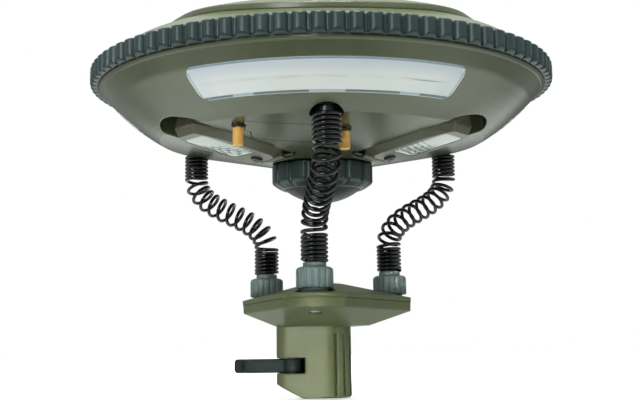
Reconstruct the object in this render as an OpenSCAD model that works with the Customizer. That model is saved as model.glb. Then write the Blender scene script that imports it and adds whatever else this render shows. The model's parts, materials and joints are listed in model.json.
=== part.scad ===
// Solar camping lantern: a wide lamp head on three coil springs over a cam clamp.
// Millimetres. The origin is the centre of the pole socket's mouth, Z is up, -Y is the front.
// The head is drawn in its own frame, with its zero height at the rim's middle plane.

/* [Lamp head] */
// Radius over the ribs of the rim ring
rim_r = 150; // [148:1:158]
// Height of the rim ring
rim_h = 10.8; // [9.5:0.1:12]
// How far the rim ring reaches below the middle plane
rim_below = 4.6; // [4:0.1:5.5]
// Number of ribs round the rim
rim_ribs = 96; // [72:1:110]
// Height of the rim's middle plane above the socket's mouth
rim_z = 201.8; // [198:0.1:206]
// Width of the bowl's steep side, from the rim's ribs to the crease where the floor begins
crease_in = 43.6; // [42:0.1:45]
// Depth of that crease below the middle plane
crease_drop = 36.2; // [34:0.1:38]
// Width of the rounding above the crease
flare_w = 15.1; // [13:0.1:17]
// Slope of the bowl's floor
floor_slope = 11.05; // [10:0.05:12]
// Wall of the lower shell, measured upright
wall = 3; // [2.6:0.1:3.4]
// Wall of the upper shell, measured upright
dome_wall = 2.6; // [2.2:0.1:3.2]
// Wall of the tubs and bosses inside the shells
rib_wall = 2; // [1.6:0.1:2.4]

/* [How the head hangs] */
// Forward nod of the head on its springs
head_nod = 4.7; // [0:0.1:6]
// Turn of the head against the clamp about the pole
head_turn = 7.8; // [0:0.1:12]
// Height of the point that the nod turns about
nod_z = 72.8; // [68:0.1:78]

/* [Dome and solar panel] */
// Height of the dome's top above the middle plane
dome_top = 21.7; // [20:0.1:24]
// Distance of the dome's shoulder from the dome's edge
shoulder_in = 13.3; // [10:0.1:16]
// Height of the dome's shoulder above the middle plane
shoulder_z = 15.1; // [14:0.1:16]
// Thickness of the raised panel frame
bezel_h = 3.5; // [3:0.1:4.2]
// Distance of the panel frame's three round corners from the dome's edge
bezel_edge = 6.3; // [5:0.1:8]
// Distance of those corners' centres from the axis
bezel_lobe_d = 49; // [45:1:50]
// Width of the panel frame's border round the panel
bezel_border = 28; // [24:1:32]
// Thickness of the solar panel
panel_t = 2; // [1.6:0.1:2.6]

/* [Windows] */
// Width of a window across the bowl's side
window_w = 14.5; // [12:0.5:16]
// Distance of a window's outer edge from the rim's ribs
window_in = 14.5; // [14:0.5:16]
// Half of the angle that a window spans
window_half = 33.5; // [28:0.5:36]
// Corner radius of a window
window_corner = 4; // [2:0.5:5]
// Width of a window's hidden flange
flange_w = 2; // [1.5:0.1:2.2]

/* [Fold-out spotlights] */
// Half of the angle between the two front spotlights
pod_half_angle = 54; // [53:0.5:56]
// Distance from the axis to the start of a spotlight's face
pod_s = 48; // [47.5:0.5:50]
// How far a spotlight's face stands below the bowl's floor
pod_drop = 3.4; // [2.8:0.1:4]
// Distance of the end of a spotlight's face from the crease
pod_tip_in = 3.4; // [2.5:0.1:4.5]
// Half width of a spotlight's face
pod_face_w = 16.5; // [15.5:0.5:17]
// Half width of a spotlight's body
pod_body_w = 20.8; // [20:0.2:21]
// Height of a spotlight's body above its face
pod_body_h = 13; // [12:0.5:13.5]
// Height of the drafted wall above the face
pod_draft_h = 5; // [4:0.5:6]
// Distance of the hinge behind the start of the face
hinge_back = 8; // [7.5:0.1:8.5]
// Height of the hinge above the face
hinge_up = 4.5; // [4.2:0.1:4.8]
// Radius of the hinge pin
hinge_pin_r = 1.5; // [1.2:0.1:1.7]
// Radius of the hinge's barrel
barrel_r = 2.7; // [2.5:0.1:3]
// Half length of the hinge's barrel
barrel_w = 13; // [11:0.5:14]
// Room between a spotlight and its pocket
pocket_gap = 0.8; // [0.6:0.1:1]
// Room between a spotlight's top and its pocket's ceiling
pocket_room = 3.5; // [3:0.1:4]
// Length of the finger scoop past the spotlight's end
scoop_l = 9; // [8:0.5:10]
// Part of a spotlight's face that its lens leaves free along its length
lens_ends = 18; // [17:0.5:21]
// Half width of a spotlight's lens
lens_w = 12; // [10:0.5:13]
// Thickness of a spotlight's lens
lens_t = 1.6; // [1.2:0.1:2]
// Depth of the reflector behind the lens
reflector_h = 6; // [5:0.5:7]
// Radius of a spotlight's push button
button_r = 3.8; // [3.4:0.1:4.2]
// How far the push button stands out of the face
button_out = 1.3; // [1.1:0.1:1.6]
// Length of the push button
button_l = 6.5; // [6:0.5:7.5]

/* [Control knob] */
// Radius of the control knob
knob_r = 33.3; // [32:0.1:34]
// Height of the knob's ribbed wall
knob_wall_h = 12.2; // [11:0.1:13]
// Height of the knob's chamfer
knob_chamfer = 4; // [3:0.1:5]
// Height of the domed cap below the chamfer
cap_h = 8.6; // [7:0.1:9.5]
// Number of ribs on the knob
knob_ribs = 16; // [12:1:20]
// Radius of the knob's shaft
shaft_r = 4; // [3:0.1:5]

/* [Battery hatch] */
// Length of the battery hatch
hatch_l = 53.5; // [50:0.5:54]
// Distance of the hatch's inner edge from the axis
hatch_inner = 61.5; // [60.5:0.5:62.5]
// Distance of the hatch's outer edge from the middle of the front spring's hole
hatch_in = 15.5; // [14.5:0.1:16.5]
// Length of the hatch's narrower tongue
hatch_tongue = 12; // [10:0.5:13]
// Sideways place of the hatch's middle
hatch_x = -19.45; // [-20:0.05:-19]
// Thickness of the hatch
hatch_t = 2.4; // [2:0.1:2.6]
// Gap round the hatch
hatch_gap = 0.5; // [0.3:0.1:0.7]
// Distance between the two thumbscrews
screw_span = 60.7; // [59:0.1:62]
// Radius of a thumbscrew's knurled head
thumb_r = 3.1; // [2.8:0.1:3.4]
// Length of a thumbscrew's head below the floor
thumb_l = 11; // [9:0.5:12]

/* [Inside the head] */
// Radius of the circuit board
board_r = 44; // [40:1:44]
// Distance of the board's components from the axis
chip_ring = 24; // [20:1:30]
// Length of a component on the board
chip_l = 9; // [6:0.5:12]
// Width of a component on the board
chip_w = 6; // [4:0.5:8]
// Height of a component on the board
chip_h = 4; // [2:0.5:5]
// Width of the knob's switch
switch_w = 16; // [12:1:18]
// Height of the knob's switch
switch_h = 7; // [5:0.5:8]
// Length of the stem that a spring's upper end winds round
socket_stem = 12; // [10:0.5:14]
// Distance of the light strips' inner edge from the rim's ribs
strip_in = 38; // [36:1:39]
// Width of a light strip
strip_w = 12; // [9:1:14]

/* [Springs] */
// Outside diameter of a spring
coil_d = 16.8; // [16:0.1:17.4]
// Diameter of the spring's wire
wire_d = 2.1; // [1.9:0.1:2.2]
// Curls in a spring's lower closed part
curls_low = 6.25; // [5:0.25:7]
// Curls in a spring's open middle
curls_mid = 11.5; // [10:0.25:12]
// Curls in a spring's upper closed part
curls_high = 6.5; // [5:0.25:7]
// Length of a spring's lower closed part
closed_low = 20; // [19:0.5:22]
// Length of a spring's upper closed part
closed_high = 21; // [20:0.5:23]
// How strongly the springs stay upright where they leave their closed parts
spring_lead = 80; // [76:1:100]
// Distance of the springs' upper ends from the crease
hole_in = 2.4; // [1.5:0.1:3.5]
// Radius of the holes that the springs enter in the bowl
hole_r = 9.5; // [9.2:0.1:10]

/* [Spring nuts] */
// Distance of the nuts from the pole's axis
nut_ring = 49; // [48:0.5:50]
// Radius of a nut over its ribs
nut_r = 11.25; // [10.5:0.05:11.8]
// Height of a nut's ribbed part
nut_h = 12.6; // [11:0.1:14]
// Number of ribs on a nut
nut_ribs = 16; // [12:1:20]
// Radius of the collar under a nut
collar_r = 8.2; // [7.6:0.1:9]
// Height of the collar under a nut
collar_h = 2.5; // [2:0.1:3]
// Radius of the stem that a spring winds round
stem_r = 5.2; // [4.6:0.1:5.3]

/* [Clamp base] */
// Distance of the lobes' corners from the pole's axis
lobe_s = 55.3; // [54:0.1:57]
// Half width of a lobe
lobe_w = 19.7; // [19:0.1:21]
// Radius of the lobes' upright corners
lobe_corner = 4; // [2:0.5:6]
// Radius of the underside's corners
under_corner = 5; // [3:0.5:7]
// How far a lobe's end bulges past its corners
lobe_bulge = 5.9; // [4:0.1:7]
// Height of the cover's seat on the tray
cover_z = 60.6; // [59:0.1:62]
// Thickness of the cover's rim
cover_rim = 2.6; // [2:0.1:3]
// Height of the hump in the middle of the cover above its rim
hump_h = 8.9; // [7:0.1:10]
// Radius of the hump's flat top
hump_r = 13; // [11:0.5:16]
// Height of the nuts' seats above the cover's rim
seat_up = 0.5; // [0.3:0.1:1.8]
// Height of the upright band round the tray
band_h = 5.9; // [5:0.1:7]
// Height of the tray's flat underside
under_z = 44.9; // [43:0.1:47]
// Distance of the underside's edges from the axis between the lobes
under_side = 31; // [29:0.5:34]
// Distance of the underside's edges from the axis under the lobes
under_lobe = 22; // [20:0.5:25]
// Radius of the recess for a cover screw
recess_r = 4.15; // [3.9:0.05:4.5]

/* [Pole clamp] */
// Radius of the pole socket's bore
bore_r = 13; // [12:0.1:13.3]
// Depth of the pole socket's bore
bore_l = 40; // [38:1:43]
// Outside radius of the fluted socket
socket_r = 17.1; // [16.8:0.1:18]
// Reach of the clamp block from the axis
block_l = 30; // [28:0.5:31]
// Corner radius of the clamp block
block_corner = 8; // [6:0.5:9]
// Width of a flute
flute_w = 1.7; // [1.2:0.1:2]
// Depth of a flute
flute_d = 1.3; // [1:0.1:1.5]
// Height of the lever's slot above the mouth
slot_z = 15.5; // [14:0.1:17]
// Height of the lever's slot
slot_h = 9.6; // [9.4:0.1:11]
// Distance from the axis to the closed end of the slot
slot_x = 10.5; // [10.2:0.1:10.8]
// Sideways distance of the lever's pivot from the axis
pivot_x = 20; // [19.6:0.1:20.4]
// Forward distance of the lever's pivot from the axis
pivot_y = 8; // [7.7:0.1:8.3]
// Radius of the lever's pin
lever_pin_r = 2; // [1.6:0.1:2.4]
// Radius of the lever's round root
lever_root = 6; // [5.8:0.1:6.1]
// Eccentric throw of the lever's cam
cam_throw = 1.3; // [1:0.1:1.4]
// Reach of the lever's tip from the axis
lever_reach = 57.5; // [55:0.5:64]
// Width of the lever's arm
lever_w = 8; // [6.5:0.5:9]
// Height of the bevelled corner under the block
bevel_z = 9.2; // [8.5:0.1:12]
// Where the bevelled corner ends on the mouth's plane
bevel_x = 12; // [11.5:0.1:14]

/* [Fits] */
// Room round a shaft or pin in its bore
running_fit = 0.05; // [0.02:0.01:0.09]
// Room between pieces that are assembled and stay still
snug = 0.1; // [0.05:0.05:0.15]
// Room between pieces that move past each other
clear = 0.3; // [0.25:0.05:0.35]

/* [Hidden] */
$fn = 48;

olive = [0.42, 0.45, 0.38];
clamp_olive = [0.45, 0.47, 0.35];
slate = [0.23, 0.29, 0.30];
pod_brown = [0.34, 0.32, 0.26];
frost = [0.84, 0.88, 0.93];
steel = [0.75, 0.76, 0.78];
brass = [0.95, 0.68, 0.30];
black = [0.05, 0.05, 0.06];

tiny = 0.01;
far = 400;
three = [0, 120, -120];

// Places that follow from the sizes above
crease_r = rim_r - crease_in;
hole_ring = crease_r - hole_in;
hatch_y = hole_ring - hatch_in;
hatch_w = hatch_y - hatch_inner;
pod_face_l = crease_r - pod_tip_in - pod_s;
lens_l = pod_face_l - lens_ends;

// Heights in the head's own frame
rim_low = -rim_below;
rim_high = rim_h - rim_below;
crease_z = -crease_drop;
function floor_z(r) = crease_z - (crease_r - r) * tan(floor_slope);
seat_wall = 2.2;
ring_in = rim_r - 7;
lip_r = rim_r - 4.5;
brow_r = rim_r - 3.7;
shoulder_r = brow_r - shoulder_in;
bezel_lobe_r = brow_r - bezel_edge - bezel_lobe_d;
knob_seat_r = knob_r + 0.6;
floor_low = floor_z(knob_seat_r);
knob_top = floor_low - 0.6;

// Points of a smooth bend from a to c, drawn towards b
function bend(a, b, c, n) = [
    for (i = [0:n]) let (t = i / n) a * (1 - t) * (1 - t) + 2 * b * t * (1 - t) + c * t * t
];
// Direction at an angle counted from the front towards the right
function dir(az) = [sin(az), -cos(az), 0];
function unit(v) = v / norm(v);

// Turns a shape drawn along +X so that it points away from the axis at an angle from the front
module at_az(az) {
    rotate([0, 0, az - 90]) children();
}

// The head's frame, seen from the clamp
module head() {
    translate([0, 0, nod_z]) rotate([head_nod, 0, head_turn])
        translate([0, 0, rim_z - nod_z]) children();
}
function from_head(p) =
    let (
        h = p[2] + rim_z - nod_z,
        y = p[1] * cos(head_nod) - h * sin(head_nod),
        z = p[1] * sin(head_nod) + h * cos(head_nod)
    )
    [p[0] * cos(head_turn) - y * sin(head_turn),
     p[0] * sin(head_turn) + y * cos(head_turn), z + nod_z];

// Outline of a round body with trapezoid ribs
function ribbed(n, r, d) = [
    for (i = [0:n - 1], j = [0:3])
        let (a = (i + [0.1, 0.2, 0.8, 0.9][j]) * 360 / n, q = (j == 0 || j == 3) ? r - d : r)
        [q * cos(a), q * sin(a)]
];
// Outline of a round body with half round ribs and narrow gaps between them
function beaded(n, r, d) = [
    for (i = [0:n - 1], j = [0:6])
        let (a = (i + 0.07 + 0.86 * j / 6) * 360 / n, q = r - d * pow(abs(j - 3) / 3, 2.4))
        [q * cos(a), q * sin(a)]
];

// The bowl and its layers

module bowl_solid() {
    side = bend([lip_r - 2.2, rim_low - 1.7],
        [crease_r + flare_w, crease_z + flare_w / 2], [crease_r, crease_z], 9);
    rotate_extrude($fn = 120) polygon(concat(
        [[0, 0], [ring_in, 0], [ring_in, rim_low], [lip_r, rim_low], [lip_r - 0.9, rim_low - 1]],
        side, [[knob_seat_r, floor_low], [0, floor_low]]));
}

// A layer of the bowl's wall, from one height above its outer face to another
module bowl_layer(low, high) {
    difference() {
        translate([0, 0, low]) bowl_solid();
        translate([0, 0, high]) bowl_solid();
    }
}

function polar(r, t) = [r * cos(t), r * sin(t)];
// Points round a window's corner, from the long edge at a radius to the end edge
function window_turn(r, s, half, c) =
    let (e = asin(c / (r - s * c)))
    concat([polar(r + s * 0.5, half - 1.25 * e)], [
        for (i = [1:4])
            bend(polar(r, half - e), polar(r, half), polar(r - s * c, half), 4)[i]
    ]);

module window_plan(grow) {
    r2 = rim_r - window_in + grow;
    r1 = r2 - window_w - 2 * grow;
    half = window_half + grow * 0.45;
    c = window_corner + grow;
    outer = window_turn(r2, 1, half, c);
    inner = window_turn(r1, -1, half, c);
    intersection() {
        difference() {
            circle(r = r2, $fn = 120);
            circle(r = r1, $fn = 120);
        }
        polygon(concat(
            [for (t = [-0.8, 0, 0.8]) polar(r2 + 40, half * t)],
            outer,
            [for (i = [4:-1:0]) inner[i]],
            [for (i = [0:4]) [inner[i][0], -inner[i][1]]],
            [for (i = [4:-1:0]) [outer[i][0], -outer[i][1]]]
        ));
    }
}

module sector(r1, r2, half) {
    intersection() {
        difference() {
            circle(r = r2, $fn = 120);
            circle(r = r1, $fn = 120);
        }
        polygon([[0, 0], [far * cos(half), -far * sin(half)], [far, 0],
            [far * cos(half), far * sin(half)]]);
    }
}

module window_prism(az, grow) {
    at_az(az) translate([0, 0, -60]) linear_extrude(60) window_plan(grow);
}

module window(az) {
    color(frost) head() {
        intersection() {
            bowl_layer(0.3, wall + tiny);
            window_prism(az, -snug);
        }
        intersection() {
            bowl_layer(wall, wall + 1.6);
            window_prism(az, flange_w);
        }
    }
}
module window_front() window(three[0]);
module window_right() window(three[1]);
module window_left() window(three[2]);

// Spotlight pockets

pod_az = [pod_half_angle, -pod_half_angle, 180];
pod_z = floor_z(pod_s) - pod_drop;
pod_end = pod_face_l + 3;
pocket_w = pod_body_w + pocket_gap;
pocket_h = pod_body_h + pocket_room;
pocket_s0 = knob_r + 1.2;
pocket_s1 = pod_s + pod_end + scoop_l;
scoop_r = 31.6;
hinge_s = pod_s - hinge_back * cos(floor_slope) - hinge_up * sin(floor_slope);
hinge_z = pod_z - hinge_back * sin(floor_slope) + hinge_up * cos(floor_slope);

module pod_frame() {
    translate([pod_s, 0, pod_z]) rotate([0, -floor_slope, 0]) children();
}

module pocket_plan(grow) {
    c = 9;
    w = pocket_w + grow;
    s0 = pocket_s0 - grow;
    intersection() {
        union() {
            translate([s0 + c, -w]) square([far, 2 * w]);
            translate([s0, c - w]) square([far, 2 * (w - c)]);
            for (m = [-1, 1]) translate([s0 + c, m * (w - c)]) circle(r = c);
        }
        union() {
            translate([pocket_s1 - scoop_r, 0]) circle(r = scoop_r + grow);
            square([2 * (pocket_s1 - scoop_r), 4 * w], center = true);
        }
    }
}

// Height of the bowl's face at a distance from the axis, near the crease
function side_z(r) = crease_z + (r - crease_r) * (0.5 + (r - crease_r) * 0.0125);
// Side view of a pocket: its ceiling follows the floor's slope and a hollow scoop runs out to the face
module pocket_side(grow) {
    rise = tan(floor_slope);
    top = pod_z + pocket_h / cos(floor_slope) + grow;
    knee = pocket_s1 - scoop_l + 1.2 + grow;
    knee_z = top + (knee - pod_s) * rise;
    tip = pocket_s1 + 0.6 + grow;
    tip_z = side_z(pocket_s1 + 0.6) + 0.3 + grow;
    rotate([90, 0, 0]) translate([0, 0, -far / 2]) linear_extrude(far) polygon(concat(
        [[0, -70], [0, top - pod_s * rise]],
        bend([knee, knee_z], [knee + 1.8, tip_z + 1.3], [tip, tip_z], 6),
        [[tip + 6, tip_z + 1], [tip + 6, -70]]
    ));
}

module pocket(az, grow) {
    at_az(az) intersection() {
        translate([0, 0, -65]) linear_extrude(65) pocket_plan(grow);
        pocket_side(grow);
    }
}

// Battery hatch

hatch_y0 = hatch_y - hatch_w;
thumb_y = hatch_y - 7;
thumb_x = [hatch_x + screw_span / 2, hatch_x - screw_span / 2];
function thumb_z(x) = floor_z(norm([x, thumb_y]));
hatch_step = 3.2;
tongue = min(hatch_tongue, hatch_w - 5);
pack_l = hatch_l - 13;
pack_w = hatch_w - 6;
pack_h = 9;
pack_top = -24.5;

module hatch_plan(grow) {
    l = hatch_l / 2 + grow;
    difference() {
        translate([hatch_x, -hatch_y]) polygon([
            [-l, -grow], [l, -grow], [l, hatch_w - tongue + grow],
            [l - hatch_step, hatch_w - tongue + 1 + grow],
            [l - hatch_step, hatch_w - 2 + grow], [l - hatch_step - 2, hatch_w + grow],
            [hatch_step + 2 - l, hatch_w + grow], [hatch_step - l, hatch_w - 2 + grow],
            [hatch_step - l, hatch_w - tongue + 1 + grow], [-l, hatch_w - tongue + grow]
        ]);
        for (x = thumb_x) translate([x, -thumb_y]) circle(r = thumb_r + 1.6 - grow);
    }
}

module hatch_prism(grow) {
    translate([0, 0, -60]) linear_extrude(60) hatch_plan(grow);
}

// The lower shell with what is moulded inside it

boss_top = -26.5;
spring_cap = -32;
board_z = -30;
post_r = 2.5;
strip_z = -12;
strip_r1 = rim_r - strip_in;
strip_r2 = strip_r1 + strip_w;
shell_screw_az = [30, 150, -90];
shell_screw_ring = bezel_lobe_d / 2 + bezel_lobe_r - 7.5;
shell_screw_r = 1.5;

module lower_features() {
    for (az = pod_az) pocket(az, rib_wall);
    for (az = three) {
        at_az(az) translate([hole_ring, 0, -50])
            cylinder(r = hole_r + rib_wall + 0.5, h = 50 + boss_top);
        at_az(az) translate([board_r - 6, 0, -50]) cylinder(r = post_r, h = 50 + board_z);
        for (a = [-26, 26]) at_az(az + a)
            translate([(strip_r1 + strip_r2) / 2 - 2, 0, -40]) cylinder(r = post_r, h = 40 + strip_z);
    }
    for (az = shell_screw_az) at_az(az) translate([shell_screw_ring, 0, -50])
        cylinder(r = shell_screw_r + 2.5, h = 50);
    for (x = thumb_x) translate([x, -thumb_y, thumb_z(x)]) cylinder(r = thumb_r + 1.5, h = 12);
    translate([0, 0, -52]) linear_extrude(52 + pack_top + rib_wall) hatch_plan(rib_wall);
}

module lower_cuts() {
    for (az = three) {
        window_prism(az, 0);
        at_az(az) translate([hole_ring, 0, -60]) cylinder(r = hole_r, h = 60);
    }
    for (az = pod_az) {
        pocket(az, 0);
        at_az(az) translate([hinge_s, 0, hinge_z]) rotate([90, 0, 0])
            cylinder(r = hinge_pin_r, h = 2 * (pocket_w + rib_wall) - 1, center = true);
    }
    for (az = shell_screw_az) at_az(az) translate([shell_screw_ring, 0, -14])
        cylinder(r = shell_screw_r, h = 20);
    for (x = thumb_x) translate([x, -thumb_y, thumb_z(x) - 8]) {
        cylinder(r = 1.5 + running_fit, h = 16);
        cylinder(r = thumb_r + 1.2, h = 8);
    }
    intersection() {
        bowl_layer(-tiny, hatch_t + clear);
        hatch_prism(hatch_gap);
    }
    translate([0, 0, -60]) linear_extrude(60 + pack_top) hatch_plan(-1.5);
    translate([0, 0, -60]) cylinder(r = shaft_r + clear, h = 30);
}

module lower_shell() {
    color(olive) head() difference() {
        union() {
            difference() {
                bowl_solid();
                intersection() {
                    translate([0, 0, wall]) bowl_solid();
                    translate([0, 0, -80]) cylinder(r = ring_in - seat_wall, h = 100, $fn = 120);
                }
            }
            intersection() {
                lower_features();
                bowl_solid();
            }
        }
        lower_cuts();
    }
}

// The upper shell, the panel frame and the panel

module dome_solid(lift) {
    brow = [
        [brow_r, rim_high + lift], [shoulder_r, shoulder_z + lift]
    ];
    top = bend([shoulder_r, shoulder_z + lift], [shoulder_r - 5, shoulder_z + 3 + lift],
        [shoulder_r - 14, dome_top - 2.2 + lift], 4);
    rotate_extrude($fn = 120) polygon(concat(
        [[0, 0], [ring_in, 0], [ring_in, rim_high + lift]], brow, top,
        [[shoulder_r - 33, dome_top + lift], [0, dome_top + lift]]));
}

module upper_shell() {
    color(olive) head() difference() {
        union() {
            difference() {
                dome_solid(0);
                intersection() {
                    translate([0, 0, -dome_wall]) dome_solid(0);
                    translate([0, 0, -20]) cylinder(r = ring_in - seat_wall, h = 60, $fn = 120);
                }
            }
            for (az = shell_screw_az) at_az(az) translate([shell_screw_ring, 0, 0])
                cylinder(r = shell_screw_r + 2.5, h = dome_top - 1.5);
        }
        for (az = shell_screw_az) at_az(az) translate([shell_screw_ring, 0, 0]) {
            translate([0, 0, -1]) cylinder(r = shell_screw_r + snug, h = 40);
            translate([0, 0, dome_top - 6]) cylinder(r = 3.1, h = 40);
        }
    }
}

module shell_screws() {
    color(steel) head() for (az = shell_screw_az) at_az(az) translate([shell_screw_ring, 0, 0]) {
        translate([0, 0, -13]) cylinder(r = shell_screw_r, h = dome_top + 7);
        translate([0, 0, dome_top - 6]) cylinder(r = 3, h = 2.2);
    }
}

// A triangle with three large round corners
module lobed_plan(r) {
    for (k = [0:2]) rotate(120 * k - 90) translate([bezel_lobe_d, 0]) circle(r = r, $fn = 120);
    polygon([
        for (k = [0:2], m = [-1, 1])
            let (a = 120 * k - 90, n = a + 60 * m)
            [bezel_lobe_d * cos(a) + (r - 0.05) * cos(n), bezel_lobe_d * sin(a) + (r - 0.05) * sin(n)]
    ]);
}

module panel_bezel() {
    panel_low = dome_top + bezel_h - panel_t - 0.2;
    color(olive) head() difference() {
        intersection() {
            dome_solid(bezel_h);
            linear_extrude(60) lobed_plan(bezel_lobe_r);
        }
        dome_solid(0);
        translate([0, 0, panel_low]) linear_extrude(20)
            lobed_plan(bezel_lobe_r - bezel_border + snug);
    }
}

module solar_panel() {
    color([0.06, 0.08, 0.16]) head() translate([0, 0, dome_top + bezel_h - panel_t - 0.2])
        linear_extrude(panel_t) lobed_plan(bezel_lobe_r - bezel_border);
}

module rim_ring() {
    edge = 0.9;
    color(slate) head() intersection() {
        difference() {
            translate([0, 0, rim_low]) linear_extrude(rim_h) polygon(beaded(rim_ribs, rim_r, 2.6));
            translate([0, 0, rim_low - 1]) cylinder(r = ring_in + snug, h = rim_h + 2, $fn = 120);
        }
        rotate_extrude($fn = 120) polygon([
            [0, rim_low], [rim_r - 2 * edge, rim_low], [rim_r, rim_low + edge],
            [rim_r, rim_high - edge], [rim_r - 2 * edge, rim_high], [0, rim_high]
        ]);
    }
}

// Lights and boards inside the head

module light_strips() {
    color([0.9, 0.9, 0.82]) head() for (az = three) at_az(az) {
        translate([0, 0, strip_z]) linear_extrude(1.6) sector(strip_r1, strip_r2, window_half - 4);
        for (a = [-24:8:24]) rotate([0, 0, a]) translate([strip_r2 - 4, 0, strip_z - 0.5])
            cube([3.5, 3.5, 1.4], center = true);
    }
}

module spring_sockets() {
    color(black) head() for (az = three) at_az(az) translate([hole_ring, 0, 0]) {
        translate([0, 0, boss_top]) cylinder(r = hole_r + rib_wall, h = 2);
        translate([0, 0, spring_cap]) cylinder(r = coil_d / 2 + 0.2, h = boss_top - spring_cap + 1);
        translate([0, 0, spring_cap - socket_stem]) cylinder(r = stem_r, h = socket_stem + 1);
    }
}

module main_board() {
    color([0.1, 0.35, 0.2]) head() {
        translate([0, 0, board_z]) cylinder(r = board_r, h = 1.6);
        for (a = [20:60:320]) at_az(a) translate([chip_ring, 0, board_z + chip_h / 2 + 1])
            cube([chip_l, chip_w, chip_h], center = true);
    }
}

module battery_pack() {
    color([0.2, 0.35, 0.6]) head()
        translate([hatch_x - pack_l / 2, -hatch_y + (hatch_w - pack_w) / 2, pack_top - pack_h])
        cube([pack_l, pack_w, pack_h]);
}

module knob_switch() {
    color(steel) head() {
        translate([-switch_w / 2, -switch_w / 2, board_z - switch_h]) cube([switch_w, switch_w, switch_h]);
        translate([0, 0, knob_top - knob_wall_h]) cylinder(r = shaft_r, h = board_z - knob_top + knob_wall_h - 1);
    }
}

// Control knob

module control_knob() {
    low = knob_top - knob_wall_h;
    color(slate) head() difference() {
        intersection() {
            translate([0, 0, low - knob_chamfer]) linear_extrude(knob_wall_h + knob_chamfer)
                rotate(5) polygon(ribbed(knob_ribs, knob_r, 1.2));
            rotate_extrude($fn = 96) polygon([
                [0, low - knob_chamfer], [knob_r - 6, low - knob_chamfer], [knob_r, low],
                [knob_r, knob_top - 0.8], [knob_r - 0.8, knob_top], [0, knob_top]
            ]);
        }
        difference() {
            translate([0, 0, low + 1]) cylinder(r = knob_r - 4, h = knob_wall_h);
            cylinder(r = shaft_r + 4, h = far, center = true);
        }
        translate([0, 0, low - clear]) cylinder(r = shaft_r + running_fit, h = far);
        translate([0, 0, low - knob_chamfer - 1]) cylinder(r = knob_r - 8.5, h = 2);
    }
}

module knob_cap() {
    low = knob_top - knob_wall_h - knob_chamfer + 1;
    rim = knob_r - 8.5 - snug;
    sphere_r = (rim * rim + cap_h * cap_h) / (2 * cap_h);
    color(slate) head() {
        translate([0, 0, low - 1]) cylinder(r = rim, h = 1);
        intersection() {
            translate([0, 0, low - 1 - cap_h + sphere_r]) sphere(r = sphere_r, $fn = 96);
            translate([0, 0, low - 1 - cap_h]) cylinder(r = rim, h = cap_h);
        }
    }
}

// Spotlights, drawn along +X with their face at zero height

module pod_outline(l0, l1, w0, w1, c0, c1) {
    hull() for (m = [-1, 1]) {
        translate([l0 + c0, m * (w0 - c0)]) circle(r = c0, $fn = 32);
        translate([l1 - c1, m * (w1 - c1)]) circle(r = c1, $fn = 32);
        translate([l1 - 18, m * (w0 - c1)]) circle(r = c1, $fn = 32);
    }
}

module lens_plan(grow) {
    s = 13;
    c = 3 + grow;
    translate([s - grow + c, -lens_w - grow]) square([lens_l - 4 + 2 * grow - c, 2 * (lens_w + grow)]);
    translate([s - grow, -lens_w - grow + c])
        square([lens_l + 2 * grow, 2 * (lens_w + grow - c)]);
    for (m = [-1, 1]) translate([s - grow + c, m * (lens_w + grow - c)]) circle(r = c);
    for (m = [-1, 1]) translate([s + lens_l + grow - 4, m * (lens_w + grow - 4)]) circle(r = 4);
}

module pod_body(az) {
    color(pod_brown) head() at_az(az) pod_frame() difference() {
        union() {
            hull() {
                linear_extrude(0.6) pod_outline(-1, pod_face_l, pod_face_w, 12, 8, 5);
                translate([0, 0, pod_draft_h]) linear_extrude(pod_body_h - pod_draft_h)
                    pod_outline(-5, pod_end, pod_body_w, 13, 9, 4);
            }
            translate([-hinge_back, 0, hinge_up]) rotate([90, 0, 0])
                cylinder(r = barrel_r, h = 2 * barrel_w, center = true);
            translate([-hinge_back, -barrel_w, hinge_up])
                cube([hinge_back, 2 * barrel_w, barrel_r]);
        }
        translate([0, 0, -1]) linear_extrude(lens_t + 1) lens_plan(snug);
        linear_extrude(lens_t + reflector_h + snug) lens_plan(-1);
        translate([4, 0, -1]) cylinder(r = button_r + running_fit, h = button_l + 1.4);
        translate([-hinge_back, 0, hinge_up]) rotate([90, 0, 0])
            cylinder(r = hinge_pin_r + running_fit, h = far, center = true);
        for (t = [-12:3:12]) translate([pod_end, t, -1]) rotate([0, 0, 45])
            translate([-0.9, -0.9, 0]) cube([1.8, 1.8, far]);
    }
}

module pod_lens(az) {
    color(frost) head() at_az(az) pod_frame() linear_extrude(lens_t) lens_plan(0);
}

module pod_reflector(az) {
    color([0.85, 0.87, 0.9]) head() at_az(az) pod_frame() difference() {
        translate([0, 0, lens_t]) linear_extrude(reflector_h) lens_plan(-1 - snug);
        for (i = [0:3]) translate([20 + 4.5 * i, 0, lens_t]) rotate([90, 0, 25])
            cylinder(r = 1.9, h = 14, center = true);
        translate([42, 0, lens_t - 1]) cylinder(r1 = 7.5, r2 = 4, h = 5);
    }
}

module pod_button(az) {
    color(black) head() at_az(az) pod_frame() translate([4, 0, -button_out]) {
        translate([0, 0, 0.5]) cylinder(r = button_r, h = button_l - 0.5);
        cylinder(r1 = button_r - 0.5, r2 = button_r, h = 0.5);
    }
}

module pod_hinge_pins() {
    color(steel) head() for (az = pod_az) at_az(az) translate([hinge_s, 0, hinge_z])
        rotate([90, 0, 0]) cylinder(r = hinge_pin_r, h = 2 * (pocket_w + rib_wall) - 2, center = true);
}

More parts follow.
